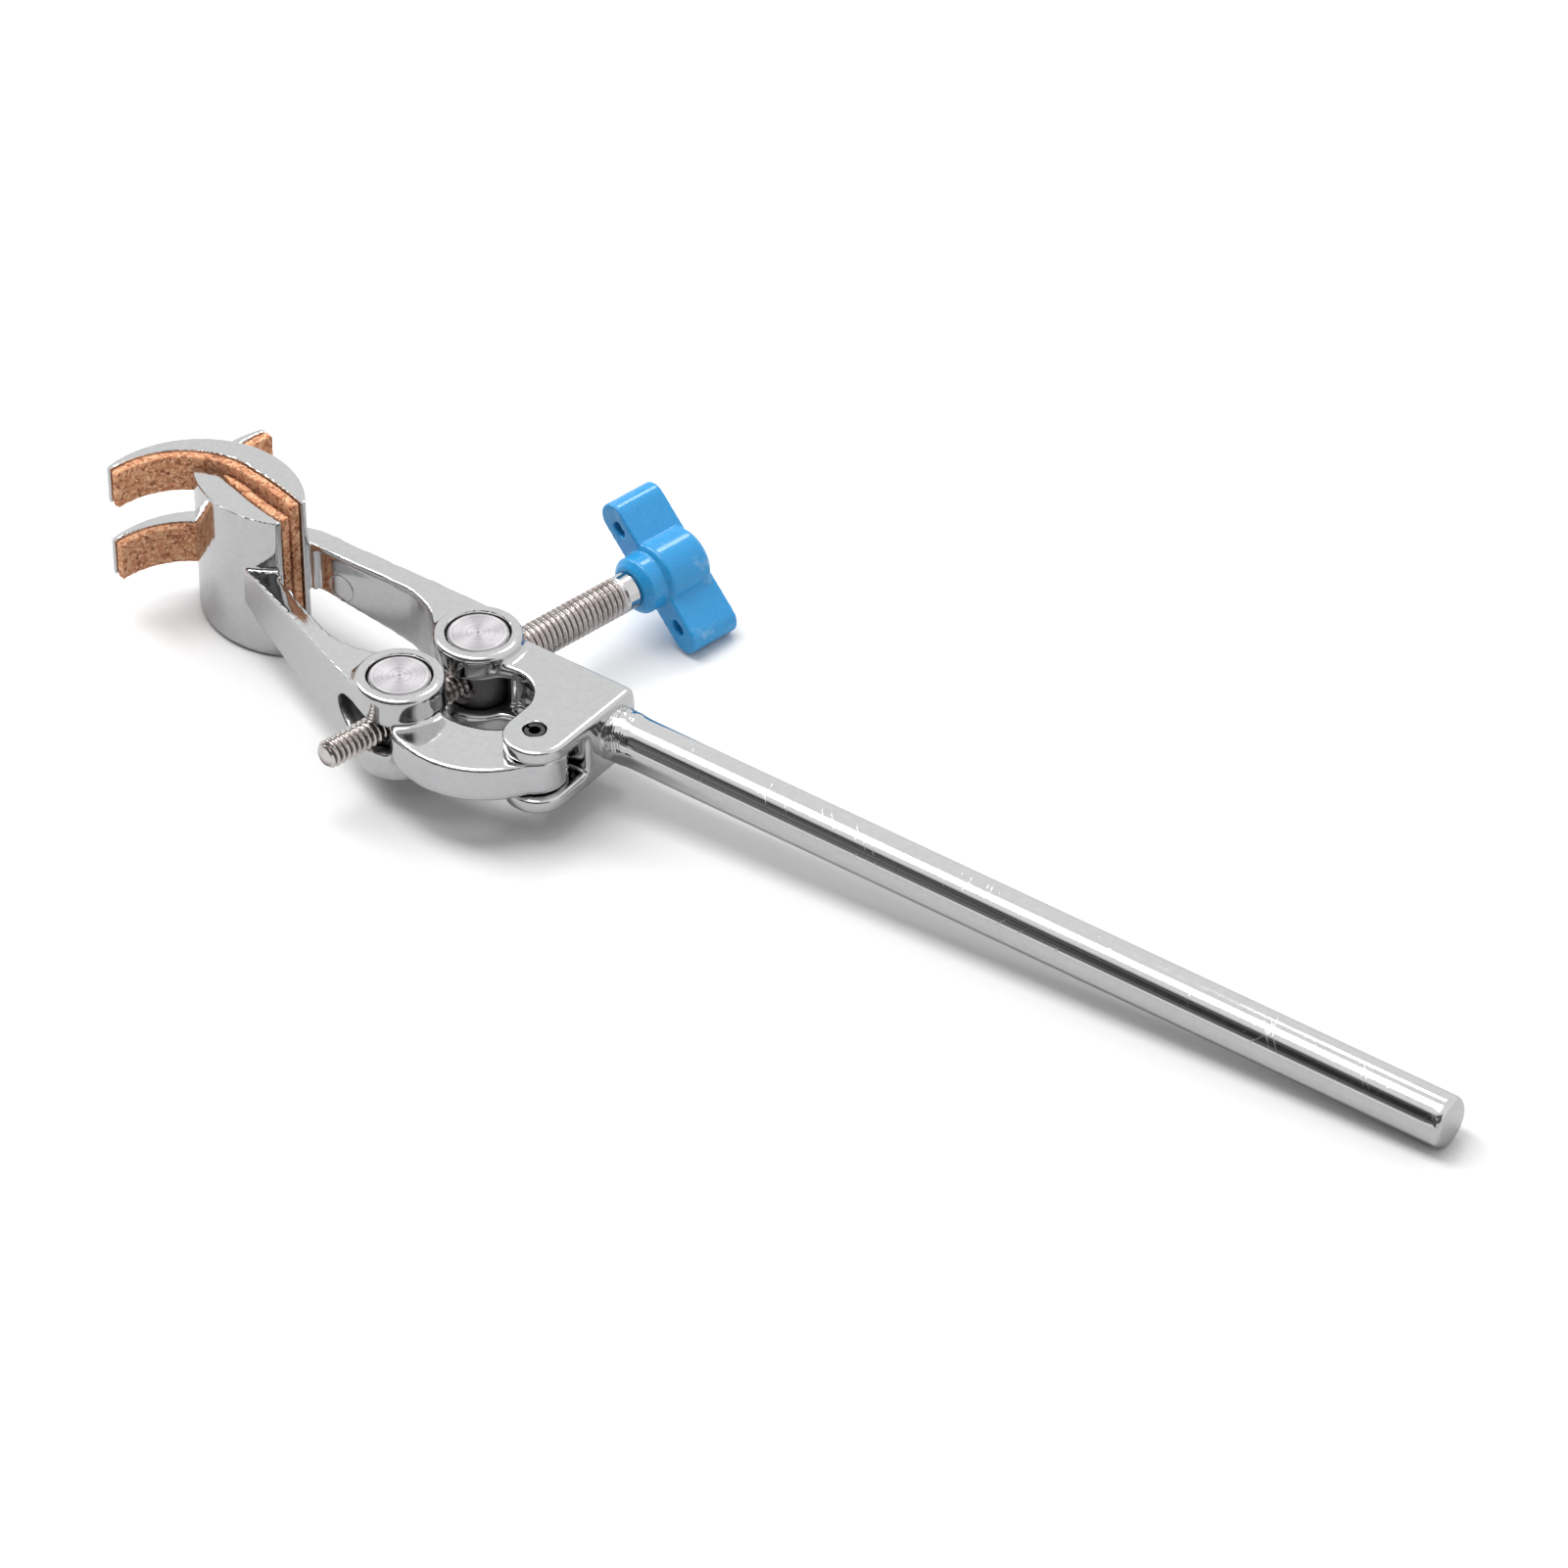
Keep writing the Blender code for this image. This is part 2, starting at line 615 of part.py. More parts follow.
def build_knob():
    tilted = SCREW_FRAME @ Matrix.Rotation(radians(WING_TILT), 4, 'Z')
    knob = outline_solid('wings', stadium(WING_HALF_SPAN, WING_THICKNESS), -KNOB_END, -HUB_END, tilted)
    round_edges(knob, WING_EDGE)
    barrel = BARREL_DIAMETER / 2
    hub = HUB_DIAMETER / 2
    front = -HUB_END - BARREL_SUNK
    back = -KNOB_END + BARREL_SUNK
    profile = [(0, -KNOB_START), (hub - HUB_EDGE, -KNOB_START), (hub, -KNOB_START - HUB_EDGE),
               (hub, front), (barrel - BARREL_EDGE / 2, front), (barrel, front - BARREL_EDGE / 2),
               (barrel, back + BARREL_EDGE), (barrel - BARREL_EDGE, back), (0, back)]
    join(knob, turned_solid('knob_core', profile, SCREW_FRAME))
    shank_end = -COLLAR_START - SHANK_LENGTH - GAP
    cut(knob, cylinder('knob_socket', SHANK_DIAMETER / 2 + GAP, shank_end, 0, SCREW_FRAME, SMALL_ROUND_STEPS))
    for end in (-1, 1):
        place = tilted @ Matrix.Translation((end * CORE_PLACE, 0, 0))
        cut(knob, outline_solid('wing_core', stadium(CORE_LENGTH / 2, CORE_WIDTH), -HUB_END - CORE_DEPTH,
                                -HUB_END + FAR / 4, place))
    return finish(knob, 'wing_knob', blue_plastic)


clear_scene()
clamp = new_collection('four_prong_clamp')
cutters = new_collection('cutters')
chrome = material('chrome', (0.62, 0.62, 0.62), 1.0, 0.16)
rod_chrome = material('rod_chrome', (0.66, 0.66, 0.66), 1.0, 0.10)
aluminium = material('aluminium', (0.74, 0.73, 0.74), 1.0, 0.38)
steel = material('steel', (0.50, 0.47, 0.45), 1.0, 0.30)
blue_plastic = material('blue_plastic', (0.06, 0.30, 0.62), 0.0, 0.35)
cork_sheet = material('cork_sheet', (0.33, 0.15, 0.08), 0.0, 0.9)

build_rod()
build_head()
build_lever()
build_hinge_pin()
build_nut('rear_barrel_nut', FIXED_NUT, THICK_THREAD_DIAMETER)
build_nut('front_barrel_nut', MOVING_NUT, THIN_THREAD_DIAMETER)
build_screw()
build_collar()
build_knob()
finish(palm_and_prongs('fixed_cork', cork_plan(), FIXED_SIDE), 'fixed_jaw_cork', cork_sheet)
finish(palm_and_prongs('moving_cork', cork_plan(), MOVING_SIDE), 'moving_jaw_cork', cork_sheet)
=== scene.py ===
import json
from math import atan2, cos, degrees, pi, radians, sin

import bmesh
import bpy
import numpy as np
from mathutils import Matrix, Vector


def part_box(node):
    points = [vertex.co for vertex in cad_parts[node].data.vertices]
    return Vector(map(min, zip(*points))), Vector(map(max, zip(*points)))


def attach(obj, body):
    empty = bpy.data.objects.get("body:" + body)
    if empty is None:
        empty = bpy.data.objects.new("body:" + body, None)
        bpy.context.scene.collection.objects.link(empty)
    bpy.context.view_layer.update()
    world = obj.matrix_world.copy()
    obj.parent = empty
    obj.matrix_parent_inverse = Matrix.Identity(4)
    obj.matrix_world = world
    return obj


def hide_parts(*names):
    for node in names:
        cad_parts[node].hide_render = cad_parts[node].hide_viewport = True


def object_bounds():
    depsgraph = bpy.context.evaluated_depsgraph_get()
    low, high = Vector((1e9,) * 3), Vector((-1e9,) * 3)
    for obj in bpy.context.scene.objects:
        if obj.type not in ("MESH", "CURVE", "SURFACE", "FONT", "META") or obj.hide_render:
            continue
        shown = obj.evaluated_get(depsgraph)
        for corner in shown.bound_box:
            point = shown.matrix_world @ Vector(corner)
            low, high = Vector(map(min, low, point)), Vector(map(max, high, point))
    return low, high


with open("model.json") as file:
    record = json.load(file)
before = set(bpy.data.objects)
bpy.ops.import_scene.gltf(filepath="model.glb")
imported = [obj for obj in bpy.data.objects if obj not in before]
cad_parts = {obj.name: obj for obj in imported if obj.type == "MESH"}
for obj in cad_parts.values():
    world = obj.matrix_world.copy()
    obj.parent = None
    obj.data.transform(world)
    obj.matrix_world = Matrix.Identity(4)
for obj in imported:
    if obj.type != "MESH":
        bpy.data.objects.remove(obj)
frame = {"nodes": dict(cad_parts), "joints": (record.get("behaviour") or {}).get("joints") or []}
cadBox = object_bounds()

mm = 0.001  # a millimetre in the frame's metres
mergeReach = 0.002 * mm  # corners of a CAD mesh nearer than this are one
sharpAngle = 40  # edges of a piece that turn more than this, in degrees, stay sharp
lowTone, highTone = 0.3, 0.7  # the fine skin's noise lies between these, for the most part
joints = {joint["name"]: joint for joint in frame["joints"]}
hingePin = np.array(joints["lever_swing"]["pos_m"])
rearNut = np.array(joints["rear_barrel_turn"]["pos_m"])
frontNut = np.array(joints["front_barrel_turn"]["pos_m"])
screwAxis = np.array(joints["screw_slide"]["axis"])
rodAxis = np.array([1.0, 0.0, 0.0])
upward = np.array([0.0, 0.0, 1.0])
screwAngle = degrees(atan2(screwAxis[1], screwAxis[0]))


# The corners of a mesh as an array with a row for each: x, y, z.
def meshPoints(mesh):
    flat = np.empty(len(mesh.vertices) * 3)
    mesh.vertices.foreach_get("co", flat)
    return flat.reshape(-1, 3)


# Moves the corners of a mesh to new places, one row each.
def setMeshPoints(mesh, points):
    mesh.vertices.foreach_set("co", points.ravel())
    mesh.update()


# The corners of a CAD node's mesh, in the same rows.
def nodePoints(node):
    return meshPoints(frame["nodes"][node].data)


# Where a CAD node starts and ends along an axis, and how far it reaches from it: the least and
# the greatest (point - origin) . axis, and the greatest length of what is left beside the axis.
def nodeSpan(node, origin, axis):
    offsets = nodePoints(node) - origin
    along = offsets @ axis
    away = np.linalg.norm(offsets - along[:, None] * axis, axis=1)
    return along.min(), along.max(), away.max()


# A ramp from 0 to 1 between two values, level at both ends: t * t * (3 - 2 t).
def easeBetween(low, high, value):
    share = np.clip((value - low) / (high - low), 0, 1)
    return share * share * (3 - 2 * share)


# Puts a finished mesh into the scene as a piece of the clamp, smooth but for its sharp edges.
def addPiece(name, mesh, surface, body, slot, *nodes):
    mesh.shade_smooth()
    mesh.set_sharp_from_angle(angle=radians(sharpAngle))
    mesh.materials.clear()
    mesh.materials.append(surface)
    piece = bpy.data.objects.new(name, mesh)
    bpy.context.scene.collection.objects.link(piece)
    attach(piece, body)
    if nodes:
        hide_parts(*nodes)
    print("piece", name, len(mesh.polygons), "faces")
    return piece


# A turned surface over two parameters, the place along the axis and the angle round it:
# origin + axis * along + (side * cos(angle) + across * sin(angle)) * radius.
# The angle wraps round, and each end is closed by a fan about its middle.
def turnedMesh(name, origin, axis, along, radii):
    rows, columns = radii.shape
    angle = np.linspace(0, 2 * pi, columns, endpoint=False)
    side = np.cross(axis, upward)
    across = np.cross(axis, side)
    ring = np.outer(np.cos(angle), side) + np.outer(np.sin(angle), across)
    points = origin + along[:, None, None] * axis + radii[:, :, None] * ring
    middles = origin + np.outer(along[[0, -1]], axis)
    column = np.arange(columns)
    after = np.roll(column, -1)
    row = np.arange(rows - 1)[:, None] * columns
    quads = np.stack([row + column, row + after, row + columns + after, row + columns + column], -1)
    last = (rows - 1) * columns
    near = np.stack([np.full(columns, rows * columns), after, column], -1)
    far = np.stack([np.full(columns, rows * columns + 1), last + column, last + after], -1)
    corners = np.vstack([points.reshape(-1, 3), middles])
    faces = quads.reshape(-1, 4).tolist() + near.tolist() + far.tolist()
    mesh = bpy.data.meshes.new(name)
    mesh.from_pydata(corners.tolist(), [], faces)
    mesh.update()
    return mesh


# A copy of a CAD node with its doubles merged, filled anew with even facets after any cutter has
# been taken from it, and held inside the node's own box.
def evenCopy(name, node, facet, cutter=None):
    mesh = frame["nodes"][node].data.copy()
    work = bmesh.new()
    work.from_mesh(mesh)
    bmesh.ops.remove_doubles(work, verts=work.verts, dist=mergeReach)
    work.to_mesh(mesh)
    work.free()
    source = bpy.data.objects.new(name + "Source", mesh)
    bpy.context.scene.collection.objects.link(source)
    if cutter:
        wider = source.modifiers.new("widerSlot", "BOOLEAN")
        wider.operation = "DIFFERENCE"
        wider.object = cutter
    refill = source.modifiers.new("evenFacets", "REMESH")
    refill.mode = "VOXEL"
    refill.voxel_size = facet
    graph = bpy.context.evaluated_depsgraph_get()
    filled = bpy.data.meshes.new_from_object(source.evaluated_get(graph))
    filled.name = name
    bpy.data.objects.remove(source, do_unlink=True)
    corners = nodePoints(node)
    setMeshPoints(filled, np.clip(meshPoints(filled), corners.min(axis=0), corners.max(axis=0)))
    return filled


# Rounds a mesh: in each pass a point goes part of the way to the mean of its neighbours,
# point + weight * share * (mean - point), so sharp corners melt and flat faces stay.
def melt(mesh, passes, weight=1.0, share=0.5):
    ends = np.empty(len(mesh.edges) * 2, dtype=np.int64)
    mesh.edges.foreach_get("vertices", ends)
    first, second = ends.reshape(-1, 2).T
    points = meshPoints(mesh)
    count = np.bincount(ends, minlength=len(points))
    pull = np.broadcast_to(np.asarray(weight, float), (len(points),))[:, None] * share
    for turn in range(passes):
        total = np.stack([np.bincount(first, points[second, axis], len(points))
                          + np.bincount(second, points[first, axis], len(points))
                          for axis in range(3)], -1)
        points = points + pull * (total / count[:, None] - points)
    setMeshPoints(mesh, points)


# A shader node with its settings and its inputs, each a value or another node's output.
def addNode(tree, kind, inputs={}, **settings):
    node = tree.nodes.new("ShaderNode" + kind)
    for key, value in settings.items():
        setattr(node, key, value)
    for key, value in inputs.items():
        if isinstance(value, bpy.types.NodeSocket):
            tree.links.new(value, node.inputs[key])
        else:
            node.inputs[key].default_value = value
    return node


# One operation on two values, such as first * second.
def mathOf(tree, operation, first, second=0.0, clamp=False):
    node = addNode(tree, "Math", {0: first, 1: second}, operation=operation, use_clamp=clamp)
    return node.outputs[0]


# A value moved from one range to another, and held inside it.
def rangeOf(tree, value, fromLow, fromHigh, toLow, toHigh):
    node = addNode(tree, "MapRange", {"Value": value, "From Min": fromLow, "From Max": fromHigh,
                                      "To Min": toLow, "To Max": toHigh}, clamp=True)
    return node.outputs["Result"]


# Soft noise between 0 and 1, finer as the scale grows.
def noiseOf(tree, place, scale, detail=2.0, roughness=0.5):
    node = addNode(tree, "TexNoise", {"Vector": place, "Scale": scale, "Detail": detail,
                                      "Roughness": roughness})
    return node.outputs["Fac"]


# Colours between the given stops, by a value from 0 to 1.
def rampOf(tree, value, *stops):
    node = addNode(tree, "ValToRGB", {"Fac": value})
    ramp = node.color_ramp
    for stop in stops[2:]:
        ramp.elements.new(stop[0])
    for element, (at, colour) in zip(sorted(ramp.elements, key=lambda element: element.position), stops):
        element.position = at
        element.color = (*colour, 1)
    return node.outputs["Color"]


# first * (1 - share) + second * share, for two colours.
def mixOf(tree, share, first, second):
    node = addNode(tree, "Mix", {"Factor": share}, data_type="RGBA")
    for key, value in (("A", first), ("B", second)):
        socket = [s for s in node.inputs if s.name == key and s.type == "RGBA"][0]
        if isinstance(value, bpy.types.NodeSocket):
            tree.links.new(value, socket)
        else:
            socket.default_value = (*value, 1)
    return [s for s in node.outputs if s.type == "RGBA"][0]


# A shared effect: a node group with named inputs (kind and usual value) and outputs.
def newGroup(name, inputs, outputs):
    group = bpy.data.node_groups.new(name, "ShaderNodeTree")
    for label, kind, value in inputs:
        socket = group.interface.new_socket(label, in_out="INPUT", socket_type="NodeSocket" + kind)
        if value is not None:
            socket.default_value = value
    for label, kind in outputs:
        group.interface.new_socket(label, in_out="OUTPUT", socket_type="NodeSocket" + kind)
    return group, group.nodes.new("NodeGroupInput").outputs, group.nodes.new("NodeGroupOutput").inputs


# A shared effect placed in a material, with its own values; gives its outputs.
def useGroup(tree, group, inputs):
    node = tree.nodes.new("ShaderNodeGroup")
    node.node_tree = group
    for key, value in inputs.items():
        if isinstance(value, bpy.types.NodeSocket):
            tree.links.new(value, node.inputs[key])
        else:
            node.inputs[key].default_value = value
    return node.outputs


# A new material: its tree, its Principled shader and the place in object coordinates.
def newSurface(name, **sockets):
    surface = bpy.data.materials.new(name)
    surface.use_nodes = True
    tree = surface.node_tree
    shader = tree.nodes["Principled BSDF"]
    for key, value in sockets.items():
        shader.inputs[key.replace("_", " ")].default_value = value
    return surface, tree, shader, addNode(tree, "TexCoord").outputs["Object"]


# Joins heights to the shader's normal, one bump after another, each with its own depth in metres.
def addBumps(tree, shader, *heights):
    normal = None
    for height, depth in heights:
        bump = addNode(tree, "Bump", {"Height": height, "Distance": depth})
        if normal is not None:
            tree.links.new(normal, bump.inputs["Normal"])
        normal = bump.outputs["Normal"]
    tree.links.new(normal, shader.inputs["Normal"])


# The shared effects: scales are in waves a metre, and each reach is the two ends of a mask's ramp
swellEffect = dict(swell=120.0, skin=900.0, skinShare=0.05)
hairEffect = dict(length=70.0, width=3200.0, amount=0.5, turns=((0.5, 0.2, 0.9), (1.2, 0.7, 2.3)),
                  hairReach=(0.70, 0.78), patches=90.0, patchReach=(0.45, 0.65))
speckEffect = dict(scale=700.0, size=0.12, patches=160.0, patchReach=(0.5, 0.62))
ringEffect = dict(pitch=0.3 * mm, unevenness=2600.0, dotReach=(0.35 * mm, 0.5 * mm),
                  sideReach=(5.8 * mm, 5.95 * mm))


# The slow swell of a plated casting with a fine skin on it: swell + skin share * skin.
def makePlateSwell():
    group, given, put = newGroup(
        "plateSwell",
        [("Place", "Vector", None), ("Swell", "Float", swellEffect["swell"]),
         ("Skin", "Float", swellEffect["skin"])],
        [("Height", "Float"), ("Tone", "Float")])
    swell = noiseOf(group, given["Place"], given["Swell"], 1.0)
    skin = noiseOf(group, given["Place"], given["Skin"], 3.0)
    raised = mathOf(group, "MULTIPLY", skin, swellEffect["skinShare"])
    group.links.new(mathOf(group, "ADD", swell, raised), put["Height"])
    group.links.new(skin, put["Tone"])
    return group


# Short hair scratches: a noise drawn out along one line, kept where it is strongest and thinned
# by a slower noise, in two directions.
def makeHairScratches():
    group, given, put = newGroup(
        "hairScratches",
        [("Place", "Vector", None), ("Length", "Float", hairEffect["length"]),
         ("Width", "Float", hairEffect["width"]), ("Amount", "Float", hairEffect["amount"])],
        [("Mask", "Float")])
    patches = noiseOf(group, given["Place"], hairEffect["patches"], 2.0)
    total = None
    for turn in hairEffect["turns"]:
        turned = addNode(group, "VectorRotate", {"Vector": given["Place"], "Rotation": turn},
                         rotation_type="EULER_XYZ").outputs["Vector"]
        stretch = addNode(group, "CombineXYZ", {"X": given["Length"], "Y": given["Width"],
                                                "Z": given["Length"]}).outputs["Vector"]
        drawn = addNode(group, "VectorMath", {0: turned, 1: stretch}, operation="MULTIPLY").outputs["Vector"]
        hair = rangeOf(group, noiseOf(group, drawn, 1.0, 1.0), *hairEffect["hairReach"], 0.0, 1.0)
        total = hair if total is None else mathOf(group, "MAXIMUM", total, hair)
    kept = rangeOf(group, patches, *hairEffect["patchReach"], 0.0, 1.0)
    mask = mathOf(group, "MULTIPLY", mathOf(group, "MULTIPLY", total, kept), given["Amount"], clamp=True)
    group.links.new(mask, put["Mask"])
    return group


# Small round pits and specks: the middles of scattered cells, 1 - distance / size, in patches.
def makePlateSpecks():
    group, given, put = newGroup(
        "plateSpecks",
        [("Place", "Vector", None), ("Scale", "Float", speckEffect["scale"]),
         ("Size", "Float", speckEffect["size"])],
        [("Mask", "Float")])
    cells = addNode(group, "TexVoronoi", {"Vector": given["Place"],
                                          "Scale": given["Scale"]}).outputs["Distance"]
    spots = addNode(group, "MapRange", {"Value": cells, "From Min": 0.0, "From Max": given["Size"],
                                        "To Min": 1.0, "To Max": 0.0}).outputs["Result"]
    patches = noiseOf(group, given["Place"], speckEffect["patches"], 2.0)
    kept = rangeOf(group, patches, *speckEffect["patchReach"], 0.0, 1.0)
    group.links.new(mathOf(group, "MULTIPLY", spots, kept, clamp=True), put["Mask"])
    return group


# Rings left by a lathe on an end face: 0.5 + 0.5 sin(2 pi * distance from the axis / pitch), made
# uneven by a noise of the same distance.
def makeTurnedRings():
    group, given, put = newGroup(
        "turnedRings",
        [("Place", "Vector", None), ("Centre", "Vector", None), ("Pitch", "Float", ringEffect["pitch"])],
        [("Height", "Float"), ("Tone", "Float"), ("Dot", "Float"), ("Side", "Float")])
    offset = addNode(group, "VectorMath", {0: given["Place"], 1: given["Centre"]},
                     operation="SUBTRACT").outputs[0]
    flat = addNode(group, "VectorMath", {0: offset, 1: (1.0, 1.0, 0.0)}, operation="MULTIPLY").outputs[0]
    reach = addNode(group, "VectorMath", {0: flat}, operation="LENGTH").outputs["Value"]
    turns = mathOf(group, "MULTIPLY", mathOf(group, "DIVIDE", reach, given["Pitch"]), 2 * pi)
    rings = mathOf(group, "MULTIPLY_ADD", mathOf(group, "SINE", turns), 0.5)
    rings.node.inputs[2].default_value = 0.5
    stretched = mathOf(group, "MULTIPLY", reach, ringEffect["unevenness"])
    uneven = addNode(group, "TexNoise", {"W": stretched, "Scale": 1.0, "Detail": 2.0},
                     noise_dimensions="1D").outputs["Fac"]
    group.links.new(mathOf(group, "MULTIPLY", rings, uneven), put["Height"])
    group.links.new(uneven, put["Tone"])
    group.links.new(rangeOf(group, reach, *ringEffect["dotReach"], 1.0, 0.0), put["Dot"])
    group.links.new(rangeOf(group, reach, *ringEffect["sideReach"], 0.0, 1.0), put["Side"])
    return group


plateSwell = makePlateSwell()
hairScratches = makeHairScratches()
plateSpecks = makePlateSpecks()
turnedRings = makeTurnedRings()
print("shared effects ready")

# Chrome plate, over a wavy casting or over a drawn rod
# The colour of the bare inside walls is dark: painted shade in the bores and openings
castingPlate = dict(name="castingChrome", colour=(0.66, 0.662, 0.665), shade=(0.62, 0.622, 0.63),
                    fullTone=0.65, roughness=0.085, roughest=0.13, roughTone=0.75,
                    bareWallShade=(0.16, 0.155, 0.155), speck=(0.25, 0.24, 0.24),
                    speckShare=0.5, markRoughness=0.3, bareRoughness=0.5, swell=110.0,
                    swellDepth=0.05 * mm, scratchDepth=0.004 * mm, scratches=0.35)
rodPlate = dict(castingPlate, name="rodChrome", colour=(0.70, 0.70, 0.70), shade=(0.66, 0.66, 0.665),
                roughness=0.06, roughest=0.1, swell=60.0, swellDepth=0.012 * mm,
                scratchDepth=0.02 * mm, scratches=1.0)


# The tone goes from shade to colour with the fine skin, specks are darker, and bare inside walls
# are dull and painted dark as shade. Roughness = skin's roughness + mark roughness * marks, or the bare
# wall's if that is more.
def makeChrome(plate):
    surface, tree, shader, place = newSurface(plate["name"], Metallic=1.0)
    swell = useGroup(tree, plateSwell, {"Place": place, "Swell": plate["swell"]})
    hairs = useGroup(tree, hairScratches, {"Place": place, "Amount": plate["scratches"]})["Mask"]
    specks = useGroup(tree, plateSpecks, {"Place": place})["Mask"]
    marks = mathOf(tree, "MAXIMUM", hairs, specks)
    tone = rampOf(tree, swell["Tone"], (lowTone, plate["shade"]), (plate["fullTone"], plate["colour"]))
    specked = mixOf(tree, mathOf(tree, "MULTIPLY", specks, plate["speckShare"]), tone, plate["speck"])
    inside = addNode(tree, "Attribute", attribute_name="inside").outputs["Fac"]
    # Painted shade: the bare inside walls take the dark colour
    tree.links.new(mixOf(tree, inside, specked, plate["bareWallShade"]), shader.inputs["Base Color"])
    smoothness = rangeOf(tree, swell["Tone"], lowTone, plate["roughTone"], plate["roughness"],
                         plate["roughest"])
    rough = mathOf(tree, "MULTIPLY_ADD", marks, plate["markRoughness"])
    tree.links.new(smoothness, rough.node.inputs[2])
    dull = mathOf(tree, "MULTIPLY", inside, plate["bareRoughness"])
    tree.links.new(mathOf(tree, "MAXIMUM", rough, dull), shader.inputs["Roughness"])
    addBumps(tree, shader, (swell["Height"], plate["swellDepth"]), (marks, -plate["scratchDepth"]))
    return surface


castingChrome = makeChrome(castingPlate)
rodChrome = makeChrome(rodPlate)

# The nuts' turned aluminium faces
nutMetal = dict(colour=(0.60, 0.585, 0.60), shade=(0.43, 0.415, 0.43), dot=(0.34, 0.32, 0.33),
                side=(0.24, 0.23, 0.235), roughness=0.34, roughest=0.46,
                drawn=0.75, pitch=0.2 * mm, ringDepth=0.003 * mm)


# The tone follows the lathe's rings, with a dot in the middle and a darker side, and the glint is
# drawn out round the axis.
def makeNutMetal(name, axisPlace):
    surface, tree, shader, place = newSurface(name, Metallic=1.0, Anisotropic=nutMetal["drawn"])
    roundAxis = addNode(tree, "Tangent", direction_type="RADIAL", axis="Z").outputs[0]
    tree.links.new(roundAxis, shader.inputs["Tangent"])
    rings = useGroup(tree, turnedRings, {"Place": place, "Centre": tuple(axisPlace),
                                         "Pitch": nutMetal["pitch"]})
    swell = useGroup(tree, plateSwell, {"Place": place})
    turned = rampOf(tree, rings["Tone"], (lowTone, nutMetal["shade"]), (highTone, nutMetal["colour"]))
    dotted = mixOf(tree, rings["Dot"], turned, nutMetal["dot"])
    tree.links.new(mixOf(tree, rings["Side"], dotted, nutMetal["side"]), shader.inputs["Base Color"])
    skin = rangeOf(tree, swell["Tone"], lowTone, highTone, nutMetal["roughness"], nutMetal["roughest"])
    tree.links.new(skin, shader.inputs["Roughness"])
    addBumps(tree, shader, (rings["Height"], nutMetal["ringDepth"]))
    return surface


# Plain plated steel of the screw and the pin, with painted shade in the thread's roots
screwLook = dict(name="screwSteel", colour=(0.76, 0.725, 0.71), stain=(0.48, 0.42, 0.39),
                 root=(0.13, 0.098, 0.088), roughness=0.15, roughest=0.26, rootRoughness=0.4,
                 swell=260.0, skin=1800.0, stains=240.0, stainReach=(0.45, 0.75), stainShare=0.8,
                 rootReach=(0.4, 0.95), rootShare=0.95, skinDepth=0.008 * mm)
pinLook = dict(screwLook, name="pinSteel", colour=(0.12, 0.115, 0.11), stain=(0.07, 0.062, 0.06))


# Plated colour, stained by a noise, and darkened by painted shade where the groove attribute says that a
# thread's root is.
def makeSteel(look):
    surface, tree, shader, place = newSurface(look["name"], Metallic=1.0)
    swell = useGroup(tree, plateSwell, {"Place": place, "Swell": look["swell"], "Skin": look["skin"]})
    stain = rangeOf(tree, noiseOf(tree, place, look["stains"], 4.0, 0.6), *look["stainReach"],
                    0.0, look["stainShare"])
    groove = addNode(tree, "Attribute", attribute_name="groove").outputs["Fac"]
    root = rangeOf(tree, groove, *look["rootReach"], 0.0, look["rootShare"])
    plated = mixOf(tree, stain, look["colour"], look["stain"])
    # Painted shade: the thread's roots are darkened
    tree.links.new(mixOf(tree, root, plated, look["root"]), shader.inputs["Base Color"])
    skin = rangeOf(tree, swell["Tone"], lowTone, highTone, look["roughness"], look["roughest"])
    dull = mathOf(tree, "MULTIPLY", root, look["rootRoughness"])
    tree.links.new(mathOf(tree, "MAXIMUM", skin, dull), shader.inputs["Roughness"])
    addBumps(tree, shader, (swell["Height"], look["skinDepth"]))
    return surface


# Moulded blue plastic with pale scuffs
plasticLook = dict(colour=(0.028, 0.31, 0.66), deep=(0.024, 0.275, 0.60), scuff=(0.36, 0.55, 0.72),
                   roughness=0.2, scuffRoughness=0.45, skinDepth=0.012 * mm, swell=160.0, skin=1400.0,
                   hairLength=160.0, hairWidth=2600.0, hairs=0.7, hairShare=0.5,
                   rubs=130.0, rubReach=(0.57, 0.70), rubShare=0.5)


# Blue, a little deeper where the skin is low, and pale and rough where hairs or rubs scuff it.
def makePlastic():
    surface, tree, shader, place = newSurface("bluePlastic", IOR=1.5)
    swell = useGroup(tree, plateSwell, {"Place": place, "Swell": plasticLook["swell"],
                                        "Skin": plasticLook["skin"]})
    hairs = useGroup(tree, hairScratches, {"Place": place, "Length": plasticLook["hairLength"],
                                           "Width": plasticLook["hairWidth"],
                                           "Amount": plasticLook["hairs"]})["Mask"]
    rubbed = rangeOf(tree, noiseOf(tree, place, plasticLook["rubs"], 5.0, 0.65), *plasticLook["rubReach"],
                     0.0, plasticLook["rubShare"])
    scuffs = mathOf(tree, "MAXIMUM", mathOf(tree, "MULTIPLY", hairs, plasticLook["hairShare"]), rubbed)
    base = rampOf(tree, swell["Tone"], (lowTone, plasticLook["deep"]), (highTone, plasticLook["colour"]))
    tree.links.new(mixOf(tree, scuffs, base, plasticLook["scuff"]), shader.inputs["Base Color"])
    tree.links.new(rangeOf(tree, scuffs, 0.0, 1.0, plasticLook["roughness"], plasticLook["scuffRoughness"]),
                   shader.inputs["Roughness"])
    addBumps(tree, shader, (swell["Height"], plasticLook["skinDepth"]))
    return surface


